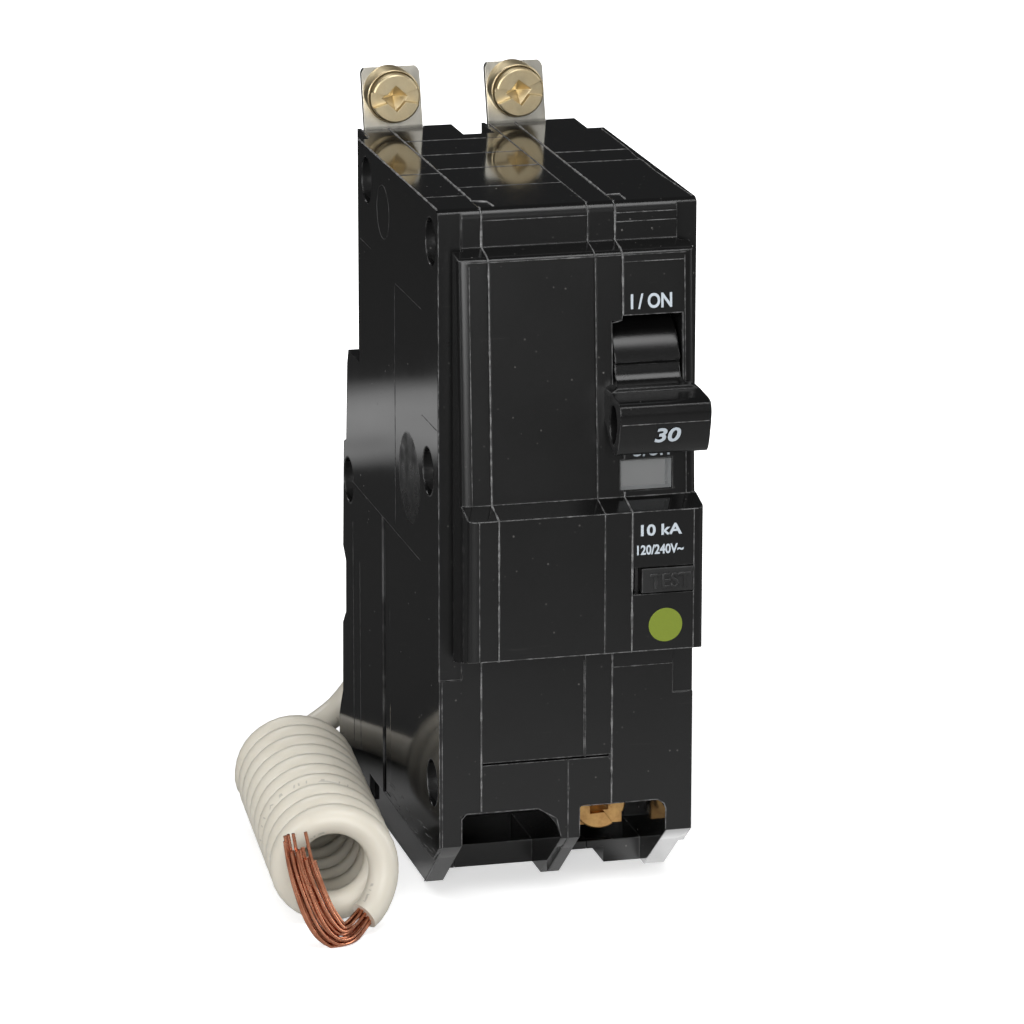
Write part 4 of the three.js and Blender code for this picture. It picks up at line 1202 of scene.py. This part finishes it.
seams = [
    down_the_front(LEFT_SEAM, 14.3),
    upper_front(RIGHT_SEAM, 88.7),
    [(RIGHT_SEAM, nose_y(71.4), 71.4), (RIGHT_SEAM, nose_y(67.8), 67.8)],
    lower_front(RIGHT_SEAM, 14.2, 63.0),
    on_top((-10.6, 1.6), (-10.8, 4.5), (-12.9, 5.5), (LEFT_SEAM, 6.5), (LEFT_SEAM, 59)),
    on_top((8.83, 1.6), (8.84, 5.0), (6.9, 5.1), (RIGHT_SEAM, 6.5), (RIGHT_SEAM, 59)),
    on_top((-18.95, 1.4), (-18.95, 51.3)),
]
# Thin lines. Along the steps, the edges and the front-left corner their pale colour is a painted highlight
# where the edge catches light; the middle and foot seams run between the mouldings.
fine = [
    down_the_front(MIDDLE_SEAM),
    on_top((MIDDLE_SEAM, 1.4), (MIDDLE_SEAM, 59)),
    [(FOOT_SEAM, 0, 21.2), (FOOT_SEAM, 0, 9.3), (FOOT_SEAM, 11.7, 0.15)],
    across(-12.6, 2.8, 0, 102.38),
    across(6.95, 15.95, 0, 102.5),
    across(6.95, 15.95, 0, 101.2),
    across(-16, 16.2, -4.28, 97.3),
    across(-16.6, 16.6, UPPER_NOSE, 62.3),
    across(-16.6, 16.6, LOWER_NOSE, 61.1),
    across(-15.4, 15.9, LOWER_NOSE, 40.4),
    across(7, 15.9, 0, 34.9),
    across(7.0, 15.9, -4.35, 96.3),
    on_front((-15.6, 102.6), (-15.6, 34.6), (-18.5, 34.6), y=0.3),
    [(-18.6, 0, 34.5), (-18.6, 0, 9.3), (-18.6, 11.6, 0.2)],
    on_front((16.05, 102.6), (16.05, 30.4), (18.9, 30.4), y=0.3),
]
for x in (16.0, -15.6):
    fine.append([(x, -4.4, 96.9), (x, UPPER_NOSE, 62.3)])
    fine.append(on_front((x, 61.1), (x, 40.4), y=LOWER_NOSE))
fine += [
    on_front((MIDDLE_SEAM - 0.2, 21.8), (MIDDLE_SEAM - 0.2, 36.3)),
    on_front((-15.7, 9.4), (-15.7, 13.3), (-15, 14.12), (-4.2, 14.12), (-1.4, 12.4), (-0.76, 9.6)),
    on_front((2.05, 9.4), (2.05, 14.0), (13.9, 14.1), (14.9, 13.4), (15.15, 12.6), (15.15, 9.4)),
    on_front((-19.0, 102.6), (-19.0, 9.3), y=-0.02),
    [
        (5.1, -6.2, 71.6), (5.1, -5.15, 87.7), (6.6, -5.1, 88.0), (6.7, -5.0, 88.7),
        (15.65, -5.0, 88.7), (15.65, -6.2, 71.6),
    ],
    on_front((LEFT_SEAM + 0.2, 21.28), (6.2, 21.28), (6.75, 20.8)),
    on_front((LEFT_SEAM + 0.2, 21.72), (6.7, 21.72)),
]
TOP_LINES = (
    (-18.9, LEFT_SEAM, (9.3, 24.9)),
    (LEFT_SEAM, MIDDLE_SEAM, (14.7, 27.5, 37.6, 48.0)),
    (RIGHT_SEAM, 18.3, (27.5, 35.0)),
)
for x0, x1, places in TOP_LINES:
    fine += [across(x0, x1, y, CASE_TOP) for y in places]
fine += [
    on_top((-17.0, 52.6), (-17.0, 59)),
    on_side((36.5, 6.15), (4.2, 6.15), x=SIDE + 0.03),
    on_top((18.7, 1.6), (18.1, 19), (18.3, 26), (18.05, 29), (18.4, 36), (18.4, 50.4)),
]
side_lines = [
    on_side((11.75, 49.65), (57.2, 49.65)),
    on_side((0.8, 71.85), (10.2, 71.85)),
    on_side((43, 89.2), (50.4, 89.2)),
    on_side((27.5, 51), (27.5, 87)),
    on_side((10.5, 87.5), (27, 87.5)),
    on_side((52, 8), (52, 38.2)),
    on_side((56.7, 8), (56.7, 43.2)),
    on_side(*arc((34.8, 96.55), 4.0, 0, 360, 40)),
]
print("lines:", len(seams), len(fine), len(side_lines))


# %% Scuffs, and the lines as wires
def scuffs():
    """Short strokes where the lower edge of the side has been dragged along a bench."""
    chance = random.Random(5)
    strokes = []
    for _ in range(34):
        y = chance.uniform(4.5, 33)
        z = 6.4 + chance.random() ** 2 * 3.2
        length, slope = chance.uniform(1.2, 4.0), chance.uniform(-0.15, 0.3)
        strokes.append(on_side((y, z), (y - length * 0.5, z + slope), (y - length, z + 1.6 * slope)))
    return strokes


def as_lines(paths, spacing=0.8):
    """The paths as points in metres, with more points along each straight stretch."""
    lines = []
    for path in paths:
        points = [place(*point) for point in path]
        line = [points[0]]
        for a, b in zip(points, points[1:]):
            steps = max(1, round((b - a).length / (spacing * MM)))
            line += [a + (b - a) * (k / steps) for k in range(1, steps + 1)]
        lines.append(line)
    return lines


LINE_GRAIN, LINE_SEED = 900.0, 3.0
# A small step across the paddle, drawn as a pale line: a painted highlight on that step.
RIDGE = [across(4.3, 17.1, -14.0, 74.9)]
LINE_SETS = {
    "handle_ridge": (RIDGE, 0.07, pale_line_and_highlight, 0.4, "handle_body", "handle_phenolic"),
    "seam_lines": (seams, 0.13, rubbed_hard, 0.6, "case", "case_phenolic"),
    "mould_lines": (fine, 0.075, pale_line_and_highlight, 0.5, "case", "case_phenolic"),
    "scuffs": (scuffs(), 0.045, rubbed_hard, 0.8, "case", "case_phenolic"),
    "side_lines": (side_lines, 0.05, faint, 0.6, "case", "case_phenolic"),
}
for name, (paths, radius, finish, uneven, body, slot) in LINE_SETS.items():
    mesh = wires(name, as_lines(paths), radius, 6, finish, uneven, LINE_GRAIN, LINE_SEED)
    made = piece(name, smooth(mesh, 60), body, finish)
    print(name, len(made.data.polygons))

# %% [markdown]
# ## Printing
# The white marks are printed flat on the moulding. Each is a text object turned into a mesh,
# stood on its face and kept a hair above it. The word on the test button is moulded, so it has
# some depth and the button's own colour.


# %% Lettering
PRINT_GAP = 0.01
PRINT_DEPTH = 0.02
MOULDED_DEPTH = 0.12
PADDLE_LEAN = -math.atan2(1.0, 3.5)
PRINTED = (print_white, PRINT_DEPTH)
MOULDED = (button_black, MOULDED_DEPTH)


def lettering(name, words, size, centre, lean, ink, body="case", slant=0.0):
    """Words that face the viewer on a face that leans back by an angle, sized to fit a box."""
    finish, depth = ink
    curve = bpy.data.curves.new(name, "FONT")
    curve.body = words
    curve.extrude = 0.5
    curve.shear = slant
    curve.offset = 0.026
    curve.resolution_u = 4
    mesh = plain_mesh(linked(name, curve))
    low = Vector([min(v.co[i] for v in mesh.vertices) for i in range(3)])
    high = Vector([max(v.co[i] for v in mesh.vertices) for i in range(3)])
    mesh.transform(Matrix.Translation(-(low + high) / 2))
    fit = [wanted * MM / made for wanted, made in zip((*size, 2 * depth), high - low)]
    mesh.transform(Matrix.Diagonal((*fit, 1)))
    mesh.transform(Matrix.Rotation(math.pi / 2 - lean, 4, "X"))
    mesh.transform(Matrix.Translation(place(*centre)))
    return piece(name, mesh, body, finish)


def on_upper_nose(x, z):
    return (x, nose_y(z) - PRINT_GAP, z)


def on_lower_nose(x, z):
    return (x, LOWER_NOSE - PRINT_GAP, z)


lettering("mark_on", "I / ON", (6.1, 2.2), on_upper_nose(11.05, 90.55), NOSE_LEAN, PRINTED)
lettering("mark_off", "O/OFF", (6.3, 2.1), on_upper_nose(11.0, 69.1), NOSE_LEAN, PRINTED)
lettering("mark_breaking", "10 kA", (6.1, 1.7), on_lower_nose(11.15, 58.35), 0, PRINTED)
lettering("mark_voltage", "120/240V~", (6.9, 1.45), on_lower_nose(11.0, 55.45), 0, PRINTED)
lettering("mark_rating", "30", (3.8, 2.3), (11.1, -13.72, 73.1), PADDLE_LEAN, PRINTED, "handle_body", 0.14)
lettering("mark_test", "TEST", (6.0, 2.3), (12.45, -10.8, 50.75), 0, MOULDED, "test_key")
disc = extruded("mark_dot", arc((11.85, 44.1), 2.5, 0, 354, 59), LOWER_NOSE - 0.05, LOWER_NOSE, along="y")
soften(disc, 0.03, 3, 40)
piece("mark_dot", smooth(plain_mesh(disc), 60), "case", print_green)

# %% [markdown]
# ## Floor and light
# A pale floor and a white room keep the object's dark outline crisp. The plastic is so glossy
# that it shows whatever stands round it, so the room is bright only where the camera looks at
# it directly, and broad soft lamps give the long highlights on the rounded edges.


# %% Floor
def floor_paint():
    """Pale to the camera. To reflections it is dark, with a bright card and a glow by the feet."""
    paint = Paint("pale_floor")
    seen = paint.node("ShaderNodeLightPath", out="Is Camera Ray")
    x, y, _ = paint.axes()
    far = (x * x + y * y).math("SQRT").above(70.0, 190.0)
    dim = (far + y.above(25.0, 25.0)).clamped() * (1 - seen)
    near_tone = paint.blend(1 - seen, grey(0.86), grey(0.5))
    matt = paint.blend(dim.clamped(), near_tone, grey(0.02))
    cloud = paint.noise(26, 3).above(0.34, 0.3)
    card = y.near(250.0, 22.0, 12.0) * x.near(-85.0, 40.0, 15.0) * (cloud * 0.55 + 0.45)
    right_foot = x.near(18.5, 4.5, 3.0) * 1.4
    feet = y.near(-17.0, 7.0, 5.0) * (x.near(0.0, 22.0, 4.0) * 0.22 + right_foot)
    glow = seen * 0.55 + seen * far * 0.6 + (card * 0.66 + feet) * (1 - seen)
    shine = paint.node("ShaderNodeVectorMath", {"operation": "SCALE"}, {0: (1, 1, 1), "Scale": glow})
    return paint.finish({
        "Base Color": matt, "Roughness": 0.9, "Emission Color": shine, "Emission Strength": 1.0,
    })


floor_mesh = mesh_of("floor", lambda bm: bmesh.ops.create_grid(bm, x_segments=1, y_segments=1, size=3))
floor_mesh.materials.append(floor_paint())
floor_mesh.transform(Matrix.Translation((0, 0, -0.00002)))
floor = linked("floor", floor_mesh)
print("floor:", floor.name)


# %% Room and lamps
def room(surround):
    """White where the camera looks at it, and dim for the light that it gives."""
    world = bpy.data.worlds.new("room")
    world.use_nodes = True
    nodes, links = world.node_tree.nodes, world.node_tree.links
    nodes.clear()
    out = nodes.new("ShaderNodeOutputWorld")
    path = nodes.new("ShaderNodeLightPath")
    mix = nodes.new("ShaderNodeMixShader")
    links.new(path.outputs["Is Camera Ray"], mix.inputs[0])
    for number, (colour, strength) in enumerate((((0.95, 0.97, 1.0, 1), surround), (grey(1), 1.0)), 1):
        sky = nodes.new("ShaderNodeBackground")
        sky.inputs["Color"].default_value = colour
        sky.inputs["Strength"].default_value = strength
        links.new(sky.outputs[0], mix.inputs[number])
    links.new(mix.outputs[0], out.inputs[0])
    bpy.context.scene.world = world


LAMPS = {  # place and aim in metres, width and height, power in watts
    "top_box": ((0.05, -0.35, 0.75), (0, 0, 0.05), (0.5, 0.4), 3.0),
    "left_box": ((-0.75, -0.35, 0.35), (0, 0, 0.05), (0.35, 0.6), 4.4),
    "right_box": ((0.75, -0.3, 0.3), (0, 0, 0.05), (0.35, 0.6), 2.6),
    "front_box": ((-0.2, -0.9, 0.24), (0, 0, 0.06), (0.5, 0.5), 4.8),
    "back_box": ((-0.2, 0.75, 0.8), (0, 0, 0.05), (0.4, 0.4), 2.4),
    "right_back_box": ((0.7, 0.6, 0.5), (0, 0, 0.05), (0.3, 0.3), 1.4),
}
room(0.03)
for name, (at, towards, size, power) in LAMPS.items():
    data = bpy.data.lights.new(name, "AREA")
    data.shape = "RECTANGLE"
    data.size, data.size_y = size
    data.energy = power
    box = linked(name, data)
    box.location = at
    box.rotation_euler = (Vector(towards) - Vector(at)).to_track_quat("-Z", "Y").to_euler()
bpy.context.scene.view_settings.view_transform = "Standard"
bpy.context.scene.view_settings.look = "None"
print("lamps:", len(LAMPS))
